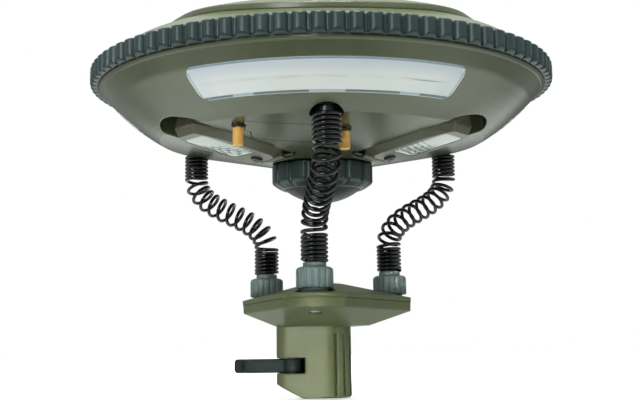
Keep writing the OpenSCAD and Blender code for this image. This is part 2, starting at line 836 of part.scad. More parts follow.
module pod_body_right() pod_body(pod_az[0]);
module pod_body_left() pod_body(pod_az[1]);
module pod_body_rear() pod_body(pod_az[2]);
module pod_lens_right() pod_lens(pod_az[0]);
module pod_lens_left() pod_lens(pod_az[1]);
module pod_lens_rear() pod_lens(pod_az[2]);
module pod_reflector_right() pod_reflector(pod_az[0]);
module pod_reflector_left() pod_reflector(pod_az[1]);
module pod_reflector_rear() pod_reflector(pod_az[2]);
module pod_button_right() pod_button(pod_az[0]);
module pod_button_left() pod_button(pod_az[1]);
module pod_button_rear() pod_button(pod_az[2]);

// Battery hatch and its thumbscrews

module battery_hatch() {
    color(olive) head() intersection() {
        bowl_layer(0, hatch_t);
        hatch_prism(0);
    }
}

module thumbscrew(x) {
    color(brass) head() translate([x, -thumb_y, thumb_z(x) - 1 - thumb_l]) {
        translate([0, 0, 0.6]) cylinder(r = thumb_r, h = thumb_l - 0.6);
        cylinder(r1 = thumb_r - 0.5, r2 = thumb_r, h = 0.6);
        translate([0, 0, thumb_l - 1]) cylinder(r = 1.5, h = 8);
    }
}
module hatch_screw_right() thumbscrew(thumb_x[0]);
module hatch_screw_left() thumbscrew(thumb_x[1]);

module hatch_washers() {
    color(black) head() for (x = thumb_x) translate([x, -thumb_y, thumb_z(x) - 0.9]) difference() {
        cylinder(r = thumb_r + 1, h = 0.9);
        translate([0, 0, -1]) cylinder(r = 1.5 + snug, h = 4);
    }
}

// Springs: one tube each, wound round a path that stands upright at both ends

nut_z = cover_z + cover_rim + seat_up + collar_h;
ferrule_z = nut_z + nut_h;
coil_z = ferrule_z + 2;
coil_r = (coil_d - wire_d) / 2;
head_up = unit(from_head([0, 0, 1]) - from_head([0, 0, 0]));
end_turn = 22;
end_rise = wire_d + 1.6;
rings = 8;
sides = 6;

// Place, direction and sideways line of the coil's middle at a number of curls
function spring_mid(az, q) =
    let (
        a = nut_ring * dir(az) + [0, 0, coil_z],
        b = from_head(hole_ring * dir(az) + [0, 0, spring_cap]),
        a1 = a + [0, 0, closed_low],
        b1 = b - head_up * closed_high,
        total = curls_low + curls_mid + curls_high,
        u = max(0, min(1, (q - curls_low) / curls_mid)),
        low = a + [0, 0, end_rise + (closed_low - end_rise) * min(q, curls_low) / curls_low],
        high = b - head_up * (end_rise + (closed_high - end_rise) * (total - q) / curls_high),
        open = a1 * (1 + 2 * u) * (1 - u) * (1 - u) + b1 * u * u * (3 - 2 * u)
            + [0, 0, spring_lead] * u * (1 - u) * (1 - u) + head_up * spring_lead * u * u * (u - 1),
        way = (b1 - a1) * 6 * u * (1 - u) + [0, 0, spring_lead] * (1 - u) * (1 - 3 * u)
            + head_up * spring_lead * u * (3 * u - 2),
        t = q <= curls_low ? [0, 0, 1] : q >= curls_low + curls_mid ? head_up : unit(way),
        p = q <= curls_low ? low : q >= curls_low + curls_mid ? high : open,
        across = cross([0, 0, 1], b - a),
        n = unit(across - (across * t) * t)
    )
    [p, t, n];

// A ring's middle, the way the wire runs there and the way out of the coil
function spring_ring(az, q, turn, lift, upright) =
    let (
        m = spring_mid(az, q),
        side = cross(m[1], m[2]),
        out = cos(turn) * m[2] + sin(turn) * side,
        along = cos(turn) * side - sin(turn) * m[2]
    )
    [m[0] + coil_r * out + lift * m[1], unit(along * (1 - upright) + m[1] * (upright + 0.06)), out];

function spring_rings(az) =
    let (total = curls_low + curls_mid + curls_high, last = end_turn + 360 * total)
    concat(
        [spring_ring(az, 0, 0, -end_rise, 1), spring_ring(az, 0, 0, wire_d - end_rise, 1),
         spring_ring(az, 0, end_turn * 0.35, -0.45, 0.45)],
        [for (i = [0:rings * total]) spring_ring(az, i / rings, end_turn + 360 * i / rings, 0, 0)],
        [spring_ring(az, total, last + end_turn * 0.65, 0.45, 0.45),
         spring_ring(az, total, last + end_turn, end_rise - wire_d, 1),
         spring_ring(az, total, last + end_turn, end_rise, 1)]
    );

module wire(path) {
    n = len(path);
    polyhedron(
        points = [
            for (g = path)
                let (out = unit(g[2] - (g[2] * g[1]) * g[1]), over = cross(g[1], out))
                for (k = [0:sides - 1])
                    g[0] + wire_d / 2 * (cos(360 * k / sides) * out + sin(360 * k / sides) * over)
        ],
        faces = concat(
            [for (k = [1:sides - 2]) [0, k, k + 1]],
            [for (k = [1:sides - 2]) [(n - 1) * sides, (n - 1) * sides + k + 1, (n - 1) * sides + k]],
            [for (i = [0:n - 2], k = [0:sides - 1])
                [i * sides + k, (i + 1) * sides + k, (i + 1) * sides + (k + 1) % sides]],
            [for (i = [0:n - 2], k = [0:sides - 1])
                [i * sides + k, (i + 1) * sides + (k + 1) % sides, i * sides + (k + 1) % sides]]
        )
    );
}

// Distance from a point to a stretch of wire
function to_stretch(p, a, b) =
    let (d = b - a, t = max(0, min(1, (p - a) * d / (d * d)))) norm(p - a - t * d);
function least_gap(path) = min([
    for (i = [0:len(path) - 7], j = [i + 5:min(i + 12, len(path) - 2)])
        to_stretch(path[i][0], path[j][0], path[j + 1][0])
]) - wire_d;

module spring(az) {
    path = spring_rings(az);
    echo(spring = az, least_gap = least_gap(path), rings = len(path));
    color(black) wire(path);
}
module spring_front() spring(three[0]);
module spring_right() spring(three[1]);
module spring_left() spring(three[2]);

module spring_nuts() {
    color(slate) for (az = three) translate(nut_ring * dir(az)) difference() {
        union() {
            translate([0, 0, nut_z - collar_h]) cylinder(r = collar_r, h = collar_h + 1);
            intersection() {
                translate([0, 0, nut_z]) linear_extrude(nut_h) polygon(ribbed(nut_ribs, nut_r, 0.8));
                translate([0, 0, nut_z]) rotate_extrude() polygon(concat(
                    [[0, 0], [nut_r - 0.6, 0], [nut_r, 0.6]],
                    bend([nut_r, nut_h - 2.4], [nut_r, nut_h], [nut_r - 2.4, nut_h], 4),
                    [[0, nut_h]]));
            }
        }
        translate([0, 0, nut_z - collar_h - 1]) cylinder(r = stem_r + snug, h = nut_h + collar_h + 2);
    }
}

module spring_ferrules() {
    color(black) for (az = three) translate(nut_ring * dir(az)) difference() {
        union() {
            translate([0, 0, nut_z - collar_h]) cylinder(r = stem_r, h = nut_h + collar_h + 12);
            translate([0, 0, ferrule_z]) cylinder(r = coil_d / 2 + 0.2, h = coil_z - ferrule_z);
        }
        translate([0, 0, nut_z - collar_h - 1]) cylinder(r = cover_screw_r, h = 8);
    }
}

// Clamp base

cover_screw_r = 1.6;
cover_screw_z = cover_z - 6;

function lobe_corners(s, w) = [
    for (k = [0:2], m = [-1, 1])
        let (a = 120 * k - 90) [s * cos(a) - m * w * sin(a), s * sin(a) + m * w * cos(a)]
];

// Outline of the lobes, drawn as the discs and arcs that a hull goes round
module lobe_plan(w) {
    c = lobe_corner;
    v = w - c;
    bulge_r = (v * v + lobe_bulge * lobe_bulge) / (2 * lobe_bulge);
    for (k = [0:2]) rotate(120 * k - 90) {
        for (m = [-1, 1]) translate([lobe_s - c, m * v]) circle(r = c, $fn = 24);
        intersection() {
            translate([lobe_s + lobe_bulge - bulge_r, 0]) circle(r = bulge_r, $fn = 64);
            translate([lobe_s - c, -v]) square([lobe_bulge + c + 1, 2 * v]);
        }
    }
}

module tray() {
    corner = (under_side - under_lobe / 2) / sin(60);
    inset = 1 - 1.16 * under_corner / norm([under_lobe, corner]);
    hull() {
        translate([0, 0, cover_z - 1]) linear_extrude(1) lobe_plan(lobe_w);
        translate([0, 0, cover_z - band_h]) linear_extrude(1) lobe_plan(lobe_w - 0.5);
        for (p = lobe_corners(under_lobe, corner)) translate([p[0] * inset, p[1] * inset, under_z])
            cylinder(r = under_corner, h = 1, $fn = 24);
    }
}

// Outline of the socket and the block beside it
module clamp_plan() {
    circle(r = socket_r, $fn = 96);
    c = block_corner;
    translate([c - block_l, -socket_r]) square([block_l - c, 2 * socket_r]);
    translate([-block_l, c - socket_r]) square([block_l, 2 * (socket_r - c)]);
    for (m = [-1, 1]) translate([c - block_l, m * (socket_r - c)]) circle(r = c);
}

module flutes() {
    for (i = [0:6]) at_az(30 + 22.5 * i) translate([socket_r, 0, 0]) {
        translate([-flute_d, -flute_w / 2, 1.5]) cube([far, flute_w, bore_l - 2.5]);
        translate([-flute_d, 0, bore_l - 1]) rotate([0, 90, 0]) cylinder(r = flute_w / 2, h = 9);
    }
}

module clamp_body() {
    edge = 1;
    color(clamp_olive) difference() {
        union() {
            tray();
            linear_extrude(under_z + 1) clamp_plan();
        }
        translate([0, 0, -1]) cylinder(r = bore_r, h = bore_l + 1, $fn = 96);
        flutes();
        translate([-far, -far, slot_z]) cube([far - slot_x, far - 0.5, slot_h]);
        translate([-pivot_x, -pivot_y, -1]) cylinder(r = lever_pin_r, h = slot_z + slot_h + 9);
        rotate([90, 0, 0]) translate([0, 0, -far / 2]) linear_extrude(far) polygon([
            [-bevel_x, -tiny], [-block_l - 2, bevel_z * (block_l + 2 - bevel_x) / (block_l - bevel_x)],
            [-block_l - 2, -tiny]
        ]);
        difference() {
            translate([0, 0, -1]) cylinder(r = socket_r + 8, h = edge + 1);
            translate([0, 0, -1]) cylinder(r1 = socket_r - edge - 1, r2 = socket_r, h = edge + 1.01);
            translate([-far, -far / 2, -2]) cube([far, far, 8]);
        }
        for (az = three) translate(nut_ring * dir(az)) {
            cylinder(r = recess_r, h = cover_screw_z);
            cylinder(r = cover_screw_r + snug, h = far);
        }
    }
}

module base_cover() {
    rim_top = cover_z + cover_rim;
    color(clamp_olive) difference() {
        union() {
            hull() {
                translate([0, 0, cover_z]) linear_extrude(cover_rim) lobe_plan(lobe_w + 0.5);
                translate([0, 0, rim_top]) cylinder(r = hump_r, h = hump_h, $fn = 32);
            }
            for (az = three) translate(nut_ring * dir(az) + [0, 0, cover_z])
                cylinder(r = collar_r + 1.6, h = cover_rim + seat_up);
        }
        for (az = three) translate(nut_ring * dir(az)) {
            translate([0, 0, rim_top + seat_up]) cylinder(r = nut_r + 0.8, h = far);
            cylinder(r = cover_screw_r + snug, h = far);
        }
        translate([0, 0, cover_z - 1]) cylinder(r1 = 34, r2 = 11, h = 7);
    }
}

module cover_screws() {
    color(steel) for (az = three) translate(nut_ring * dir(az)) difference() {
        union() {
            translate([0, 0, cover_screw_z - 2]) cylinder(r = recess_r - 0.5, h = 2);
            translate([0, 0, cover_screw_z - 1]) cylinder(r = cover_screw_r, h = nut_z - collar_h - cover_screw_z + 7);
        }
        for (a = [0, 90]) rotate([0, 0, a]) translate([-2.2, -0.5, cover_screw_z - 3]) cube([4.4, 1, 2]);
    }
}

// Clamp lever, its pin and the pad that it drives

pivot_d = norm([pivot_x, pivot_y]);
pivot_dir = atan2(-pivot_y, -pivot_x);
lever_h = slot_h - 0.8;
lever_z = slot_z + (slot_h - lever_h) / 2;
pad_back = pivot_d - lever_root - 0.5;

module lever_pin() {
    low = bevel_z * (pivot_x - bevel_x) / (block_l - bevel_x) + 1;
    color(steel) translate([-pivot_x, -pivot_y, low])
        cylinder(r = lever_pin_r, h = slot_z + slot_h + 8 - low);
}

// The lever's round root and the cam's nose, which faces the pole when the lever is closed
module lever_root_form() {
    nose = pivot_dir + 90;
    translate([-pivot_x, -pivot_y, 0]) {
        cylinder(r = lever_root, h = lever_h);
        translate(cam_throw * [cos(nose), sin(nose), 0]) cylinder(r = lever_root, h = lever_h);
    }
}

module lever_plan() {
    mid = bend([-pivot_x, -pivot_y], [-pivot_x - 20, -pivot_y - 4],
        [-lever_reach + 1, -pivot_y + 1.5], 8);
    polygon(concat(
        [for (p = mid) p + [0, -lever_w / 2]],
        [[-lever_reach, 1.5 - pivot_y - lever_w / 2 + 1], [-lever_reach, 1.5 - pivot_y + lever_w / 2 - 1]],
        [for (i = [len(mid) - 1:-1:0]) mid[i] + [0, lever_w / 2]]
    ));
}

module cam_lever() {
    bevel = 0.9;
    tip = 7;
    color(slate) translate([0, 0, lever_z]) difference() {
        union() {
            lever_root_form();
            intersection() {
                linear_extrude(lever_h) lever_plan();
                rotate([90, 0, 0]) translate([0, 0, -far / 2]) linear_extrude(far) polygon([
                    [-lever_reach, bevel], [-lever_reach + bevel, 0], [0, 0], [0, lever_h],
                    [-lever_reach + bevel, lever_h], [-lever_reach, lever_h - bevel]
                ]);
            }
        }
        translate([-pivot_x, -pivot_y, -1]) cylinder(r = lever_pin_r + running_fit, h = lever_h + 2);
        for (m = [-1, 1]) translate([tip - lever_reach, 1.5 - pivot_y + m * (lever_w / 2 + 0.9), -1])
            cylinder(r = 1.5, h = lever_h + 2);
    }
}

module clamp_pad() {
    half = 12;
    color(black) rotate([0, 0, pivot_dir]) translate([0, 0, slot_z + clear])
        linear_extrude(slot_h - 2 * clear) sector(bore_r + clear, pad_back, half);
}

clamp_body();
base_cover();
cover_screws();
lever_pin();
cam_lever();
clamp_pad();
spring_nuts();
spring_ferrules();
spring_front();
spring_right();
spring_left();
lower_shell();
upper_shell();
rim_ring();
panel_bezel();
solar_panel();
window_front();
window_right();
window_left();
light_strips();
spring_sockets();
main_board();
battery_pack();
shell_screws();
knob_switch();
control_knob();
knob_cap();
pod_body_right();
pod_body_left();
pod_body_rear();
pod_lens_right();
pod_lens_left();
pod_lens_rear();
pod_reflector_right();
pod_reflector_left();
pod_reflector_rear();
pod_button_right();
pod_button_left();
pod_button_rear();
pod_hinge_pins();
battery_hatch();
hatch_screw_right();
hatch_screw_left();
hatch_washers();
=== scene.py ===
import json
import math
from math import cos, pi, radians, sin

import bmesh
import bpy
from mathutils import Matrix, Vector


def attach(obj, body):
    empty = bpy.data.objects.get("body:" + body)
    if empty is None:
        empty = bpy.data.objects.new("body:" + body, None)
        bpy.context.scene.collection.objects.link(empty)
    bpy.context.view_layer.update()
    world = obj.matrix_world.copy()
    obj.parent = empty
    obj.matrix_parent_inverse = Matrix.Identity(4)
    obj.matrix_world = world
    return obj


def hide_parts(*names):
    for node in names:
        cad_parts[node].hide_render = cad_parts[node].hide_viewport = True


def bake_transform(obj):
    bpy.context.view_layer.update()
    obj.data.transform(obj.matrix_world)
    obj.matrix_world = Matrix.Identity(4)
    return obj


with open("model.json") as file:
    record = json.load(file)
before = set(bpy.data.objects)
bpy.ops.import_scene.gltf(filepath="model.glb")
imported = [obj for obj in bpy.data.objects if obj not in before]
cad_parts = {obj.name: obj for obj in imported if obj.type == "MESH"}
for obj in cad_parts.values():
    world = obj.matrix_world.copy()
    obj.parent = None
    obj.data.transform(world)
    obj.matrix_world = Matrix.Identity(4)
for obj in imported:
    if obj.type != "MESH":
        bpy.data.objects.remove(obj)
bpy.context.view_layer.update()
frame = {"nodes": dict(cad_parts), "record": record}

# Solar camping lantern: finer pieces, materials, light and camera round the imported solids.
# Sizes are in millimetres and piece() turns them into metres. Shader nodes and lamps use metres.
scene = bpy.context.scene
MM = 0.001

# Lamp head over the clamp, as in part.scad. In its own frame the rim is near height 0, the front at -Y.
HEAD_TURN, HEAD_NOD, NOD_Z, RIM_Z = 7.8, 4.7, 72.8, 201.8
HEAD = (Matrix.Translation((0, 0, NOD_Z)) @ Matrix.Rotation(radians(HEAD_TURN), 4, "Z")
        @ Matrix.Rotation(radians(HEAD_NOD), 4, "X") @ Matrix.Translation((0, 0, RIM_Z - NOD_Z)))

# Rim ring, and the bowl: a curved side through three control points, a crease and a sloping floor
RIM_R, RIM_H, RIM_BELOW, RIBS = 150.0, 10.8, 4.6, 96
RIM_LOW, RIM_HIGH, RING_IN = -RIM_BELOW, RIM_H - RIM_BELOW, RIM_R - 7
CREASE_R, CREASE_Z, FLOOR_SLOPE = 106.4, -36.2, radians(11.05)
SIDE = ((143.3, -6.3), (121.5, -28.65), (CREASE_R, CREASE_Z))

# Windows: the radius that they are laid out on, how far their middle is inside it, and half sizes
WINDOW_R, WINDOW_DOWN = 128.25, 0.75
WINDOW_LONG, WINDOW_WIDE, WINDOW_CORNER = radians(34.6) * WINDOW_R, 8.6, 5.2

# Spotlights: where a pod starts along the floor, how deep it lies, and its lens (half of the width)
POD_S, POD_DROP, BUTTON_X = 48.0, 3.4, 4.0
LENS_X, LENS_L, LENS_WIDE, LENS_CORNER = 13.0, 37.0, 12.0, 3.5
POD_AZ = {"right": 54, "left": -54, "rear": 180}

# Knob, hatch and the thumbscrews beside it
KNOB_R, KNOB_WALL, KNOB_CHAMFER, CAP_H, KNOB_RIBS = 33.3, 12.2, 4.0, 8.6, 16
HATCH_X, HATCH_HALF, HATCH_BACK = -19.5, 29.0, -58.5
THUMB_R, THUMB_L, THUMB_Y, THUMB_X = 3.1, 11.0, -81.5, {"right": 10.9, "left": -49.8}

# Spring nuts on the cover, their ferrules, and the springs that stand on them
THREE = {"front": 0, "right": 120, "left": -120}
COVER_Z, COVER_RIM, SEAT_UP = 60.6, 2.6, 0.5
NUT_RING, NUT_R, NUT_H, NUT_RIBS, COLLAR_R, COLLAR_H = 49.0, 11.25, 12.6, 16, 8.2, 2.5
STEM_R = 5.2
NUT_Z = COVER_Z + COVER_RIM + SEAT_UP + COLLAR_H
FERRULE_R, FERRULE_H = 7.1, 2.9
COIL_D, WIRE, COIL_UP = 16.8, 2.35, 2.0
COIL_R, COIL_Z = (COIL_D - WIRE) / 2, NUT_Z + NUT_H + COIL_UP
HOLE_RING, SPRING_CAP = 104.0, -32.0
CURLS_LOW, CURLS_MID, CURLS_HIGH = 6.25, 11.5, 6.5
CLOSED_LOW, CLOSED_HIGH, SPRING_LEAD = 18.2, 21.0, 80.0
END_TURN, END_RISE = 22.0, WIRE + 1.6

# Screws under the lobes, and the clamp lever on its pin
SCREW_Z, SCREW_R, CROSS_ARM = 52.0, 3.3, 0.62
PIVOT, LEVER_REACH, LEVER_Z, LEVER_H, LEVER_W = (-20.0, -8.0), 57.5, 15.9, 8.8, 8.0
GROOVE_X, FINGER_X, CAM_R, CAM_THROW, PIN_HOLE = -50.3, -50.9, 6.0, 1.3, 2.1


def floor_z(r):
    """Height of the bowl's floor at a distance from the head's axis."""
    return CREASE_Z - (CREASE_R - r) * math.tan(FLOOR_SLOPE)


def way(az):
    """Level direction at an angle from the front."""
    return Vector((sin(radians(az)), -cos(radians(az)), 0))


def turned(az):
    """Head frame with +X pointing away from the axis at an angle from the front."""
    return HEAD @ Matrix.Rotation(radians(az - 90), 4, "Z")


def pod_place(az):
    """Frame of a spotlight: +X outwards along the floor, with z 0 on its face."""
    return (turned(az) @ Matrix.Translation((POD_S, 0, floor_z(POD_S) - POD_DROP))
            @ Matrix.Rotation(-FLOOR_SLOPE, 4, "Y"))


def side_at(r):
    """Height of the bowl's curved side and the way out of it, at a distance from the head's axis."""
    (r0, z0), (r1, z1), (r2, z2) = SIDE
    a, b, c = r0 - 2 * r1 + r2, 2 * (r1 - r0), r0 - r
    t = (-b - math.sqrt(b * b - 4 * a * c)) / (2 * a)
    z = z0 * (1 - t) ** 2 + 2 * z1 * t * (1 - t) + z2 * t * t
    along = Vector((r1 - r0, z1 - z0)) * (1 - t) + Vector((r2 - r1, z2 - z1)) * t
    along.normalize()
    return z, (-along.y, along.x)


def smoothstep(t):
    """0 up to 0, 1 from 1 on, and a smooth rise between them."""
    t = max(0.0, min(1.0, t))
    return t * t * (3 - 2 * t)


# Camera: its place in the head's frame, and in pixels its focal length, its shift and the frame's width
CAMERA_AZ, CAMERA_PITCH, CAMERA_ROLL = radians(-1.5), radians(5.62), radians(-0.72)
CAMERA_AWAY, CAMERA_Z = 548.25, -127.65
FOCAL_PX, SHIFT_PX, FRAME_PX = 829, -2.7, 640
SENSOR = 36


def place_camera():
    cam = bpy.data.cameras.new("camera")
    cam.lens = FOCAL_PX * SENSOR / FRAME_PX
    cam.sensor_width = SENSOR
    cam.shift_x = SHIFT_PX / FRAME_PX
    cam.clip_start, cam.clip_end = 0.01, 20
    ob = bpy.data.objects.new("camera", cam)
    scene.collection.objects.link(ob)
    level = Vector((-sin(CAMERA_AZ), cos(CAMERA_AZ), 0))
    level_right = Vector((cos(CAMERA_AZ), sin(CAMERA_AZ), 0))
    up = Vector((0, 0, 1))
    ahead = level * cos(CAMERA_PITCH) + up * sin(CAMERA_PITCH)
    level_top = up * cos(CAMERA_PITCH) - level * sin(CAMERA_PITCH)
    right = level_right * cos(CAMERA_ROLL) + level_top * sin(CAMERA_ROLL)
    top = level_top * cos(CAMERA_ROLL) - level_right * sin(CAMERA_ROLL)
    place = HEAD @ Matrix((
        (right.x, top.x, -ahead.x, -level.x * CAMERA_AWAY),
        (right.y, top.y, -ahead.y, -level.y * CAMERA_AWAY),
        (right.z, top.z, -ahead.z, CAMERA_Z),
        (0, 0, 0, 1)))
    place.translation = place.translation * MM
    ob.matrix_world = place
    scene.camera = ob


place_camera()


# Shader nodes
PLAN_SPAN = 200
BANDS = ((0.1345, 0.0025, 0.44), (0.1437, 0.0009, 0.32))


class Nodes:
    """Short calls for the nodes of one tree. An input may be a socket, a number or a tuple."""

    def __init__(self, tree):
        self.tree = tree
        tree.nodes.clear()

    def new(self, kind, **values):
        node = self.tree.nodes.new(kind)
        for key, value in values.items():
            setattr(node, key, value)
        return node

    def link(self, a, b):
        self.tree.links.new(a, b)

    def feed(self, value, socket):
        if isinstance(value, bpy.types.NodeSocket):
            self.link(value, socket)
        elif isinstance(value, tuple):
            socket.default_value = (*value[:3], 1) if socket.type == "RGBA" else value
        else:
            socket.default_value = value

    def math(self, operation, a, b=0.0):
        node = self.new("ShaderNodeMath", operation=operation)
        self.feed(a, node.inputs[0])
        self.feed(b, node.inputs[1])
        return node.outputs[0]

    def plus(self, a, b):
        return self.math("ADD", a, b)

    def minus(self, a, b):
        return self.math("SUBTRACT", a, b)

    def times(self, a, b):
        return self.math("MULTIPLY", a, b)

    def most(self, a, b):
        return self.math("MAXIMUM", a, b)

    def size(self, a):
        return self.math("ABSOLUTE", a)

    def ramp(self, value, lo, hi, a=0.0, b=1.0, smooth=False):
        node = self.new("ShaderNodeMapRange", interpolation_type="SMOOTHSTEP" if smooth else "LINEAR")
        for key, v in zip(("Value", "From Min", "From Max", "To Min", "To Max"), (value, lo, hi, a, b)):
            self.feed(v, node.inputs[key])
        return node.outputs["Result"]

    def parts(self, vector):
        node = self.new("ShaderNodeSeparateXYZ")
        self.link(vector, node.inputs[0])
        return node.outputs


class Surface(Nodes):
    """A new material with one shader, whose inputs set() fills."""

    def __init__(self, name):
        self.material = bpy.data.materials.new(name)
        self.material.use_nodes = True
        super().__init__(self.material.node_tree)
        self.point = self.new("ShaderNodeTexCoord").outputs["Object"]
        self.shader = self.new("ShaderNodeBsdfPrincipled")
        self.link(self.shader.outputs[0], self.new("ShaderNodeOutputMaterial").inputs[0])

    def set(self, key, value):
        self.feed(value, self.shader.inputs[key])

    def noise(self, scale, detail=2.0, rough=0.5):
        node = self.new("ShaderNodeTexNoise")
        for key, v in (("Scale", scale), ("Detail", detail), ("Roughness", rough), ("Vector", self.point)):
            self.feed(v, node.inputs[key])
        return node.outputs["Fac"]

    def mix(self, fac, a, b):
        node = self.new("ShaderNodeMix", data_type="RGBA")
        for i, v in ((0, fac), (6, a), (7, b)):
            self.feed(v, node.inputs[i])
        return node.outputs[2]

    def dot(self, a, b):
        node = self.new("ShaderNodeVectorMath", operation="DOT_PRODUCT")
        self.link(a, node.inputs[0])
        self.link(b, node.inputs[1])
        return node.outputs["Value"]

    def in_head(self):
        """The point in the head's frame."""
        place = HEAD.copy()
        place.translation = place.translation * MM
        place = place.inverted()
        node = self.new("ShaderNodeMapping")
        node.inputs["Location"].default_value = place.translation
        node.inputs["Rotation"].default_value = place.to_euler("XYZ")
        self.link(self.point, node.inputs["Vector"])
        return node.outputs[0]

    def plan(self):
        """A piece's own UV plan, back in millimetres."""
        u, v, _ = self.parts(self.new("ShaderNodeUVMap", uv_map="plan").outputs[0])
        return self.times(self.minus(u, 0.5), PLAN_SPAN), self.times(self.minus(v, 0.5), PLAN_SPAN)

    def soft_edge(self, radius, samples=6):
        """The normal with rounded edges. The radius has to stay below the wall's thickness."""
        node = self.new("ShaderNodeBevel", samples=samples)
        self.feed(radius, node.inputs["Radius"])
        return node.outputs[0]

    def crevice(self, distance):
        """1 in narrow gaps and inside corners, 0 in the open: where shade is painted."""
        node = self.new("ShaderNodeAmbientOcclusion", samples=10)
        node.inputs["Distance"].default_value = distance
        return self.ramp(node.outputs["AO"], 0.25, 0.9, 1, 0)

    def bump(self, height, strength, distance, normal=None):
        node = self.new("ShaderNodeBump")
        node.inputs["Strength"].default_value = strength
        node.inputs["Distance"].default_value = distance
        self.link(height, node.inputs["Height"])
        if normal:
            self.link(normal, node.inputs["Normal"])
        return node.outputs[0]


def round_pockets(n):
    """The bowl's fillets: 1.2 mm round its pockets and holes, and 0.2 mm round the hatch."""
    x, y, _ = n.parts(n.in_head())
    beside = n.ramp(n.size(n.plus(x, -HATCH_X * MM)), HATCH_HALF * MM, (HATCH_HALF + 3) * MM)
    behind = n.ramp(y, HATCH_BACK * MM, (HATCH_BACK + 2) * MM)
    return n.plus(n.times(n.most(beside, behind), 0.0010), 0.0002)


def steeper_bands(n, normal):
    """The bowl's face bends outwards under its rim. Each band has its radius, width and slope."""
    x, y, _ = n.parts(n.in_head())
    r = n.math("SQRT", n.plus(n.times(x, x), n.times(y, y)))
    height = 0.0
    for start, width, slope in BANDS:
        a = n.most(n.minus(r, start), 0.0)
        b = n.most(n.minus(r, start + width), 0.0)
        height = n.plus(n.times(n.minus(n.times(a, a), n.times(b, b)), -slope / 2 / width), height)
    return n.bump(height, 1.0, 1.0, normal)


def tinted(color, by, more=0.0):
    """A lighter or darker shade of a colour."""
    return tuple(min(1, c * by + more) for c in color)


# Materials
def moulded(name, color, rough=0.4, edge=0.0006, grain=2200, bump=0.04, wear=0.15, blotch=0.07,
            specular=0.5, rough_var=0.06, crevice_shade=0.45, reach=0.0025, dust=0.06, bowl=False):
    """Moulded plastic: fine spark grain, cloudy colour, polished spots, rubbed edges, painted shade in
    corners.
    """
    n = Surface(name)
    soft = n.soft_edge(round_pockets(n) if bowl else edge)
    plain = n.new("ShaderNodeNewGeometry").outputs["Normal"]
    sharp = n.ramp(n.dot(soft, plain), 0.955, 0.78)
    cloud = n.noise(38, 4, 0.6)
    patch = n.noise(260, 4, 0.65)
    speck = n.noise(1500, 2, 0.5)
    col = n.mix(n.ramp(cloud, 0.35, 0.65), tinted(color, 1 - blotch), tinted(color, 1 + blotch))
    col = n.mix(n.times(n.ramp(speck, 0.5, 0.75), dust), col, tinted(color, 1.7, 0.02))
    rub = n.times(n.times(sharp, n.ramp(patch, 0.36, 0.62)), wear)
    col = n.mix(rub, col, tinted(color, 1.9, 0.03))
    # Painted shade: the colour darkens in corners, gaps and recesses, where the shade falls.
    if crevice_shade:
        col = n.mix(n.times(n.crevice(reach), crevice_shade), col, tinted(color, 0.22))
    n.set("Base Color", col)
    n.set("Roughness", n.ramp(patch, 0.3, 0.7, rough - rough_var / 2, rough + rough_var / 2))
    n.set("Specular IOR Level", specular)
    if bowl:
        soft = steeper_bands(n, soft)
    n.set("Normal", n.bump(n.noise(grain, 3, 0.6), bump, 0.0002, soft))
    return n.material


def metal(name, color, rough, bump=0.1, dull=0.5, metallic=1.0):
    """Metal with cloudy dull patches, a fine grain and painted shade in its corners."""
    n = Surface(name)
    cloud = n.noise(300, 4, 0.6)
    col = n.mix(n.ramp(cloud, 0.4, 0.7), color, tinted(color, dull))
    # Painted shade: the colour darkens in corners and narrow gaps.
    n.set("Base Color", n.mix(n.times(n.crevice(0.001), 0.5), col, tinted(color, 0.3)))
    n.set("Metallic", metallic)
    n.set("Roughness", n.ramp(cloud, 0.3, 0.7, rough * 0.8, rough * 1.3))
    n.set("Normal", n.bump(n.noise(2700, 3, 0.7), bump, 0.0001, n.soft_edge(0.0003, 4)))
    return n.material


def frosted():
    """Milky plastic: its lower edge shows the grey wall of the light guide, with three clearer tabs."""
    n = Surface("window_diffuser")
    u, v = n.plan()
    wide = n.size(u)
    cloud = n.noise(30, 3, 0.5)
    fine = n.noise(3200, 2, 0.6)
    col = n.mix(n.ramp(cloud, 0.35, 0.65), (0.88, 0.90, 0.91), (0.92, 0.94, 0.94))
    col = n.mix(n.ramp(v, 0.5, 6.5, 0, 0.55, True), col, (0.60, 0.68, 0.80))
    col = n.mix(n.ramp(wide, 60, 70, 0, 0.35, True), col, (0.66, 0.73, 0.82))
    tabs = n.most(n.ramp(wide, 10.6, 10.0), n.ramp(n.size(n.minus(wide, 49.0)), 6.8, 6.2))
    guide = n.mix(tabs, (0.18, 0.24, 0.27), (0.50, 0.61, 0.66))
    borders = ((wide, WINDOW_LONG - 1.75, 0.55, (0.34, 0.42, 0.50)),
               (v, WINDOW_WIDE - 1.0, 0.85, (0.27, 0.36, 0.47)),
               (n.times(v, -1.0), WINDOW_WIDE - 1.75, 1.35, guide))
    for place, start, width, paint in borders:
        line = n.times(n.ramp(place, start - 0.15, start + 0.15),
                       n.ramp(place, start + width + 0.15, start + width - 0.15))
        col = n.mix(line, col, paint)
    # Painted shade: the window darkens in its groove, gaps and corners.
    n.set("Base Color", n.mix(n.times(n.crevice(0.0012), 0.6), col, (0.22, 0.28, 0.34)))
    n.set("Roughness", n.ramp(fine, 0.3, 0.7, 0.26, 0.36))
    n.set("Subsurface Weight", 0.15)
    n.set("Subsurface Radius", (0.6, 0.8, 1.0))
    n.set("Subsurface Scale", 0.001)
    n.set("Normal", n.bump(fine, 0.08, 0.0001))
    return n.material


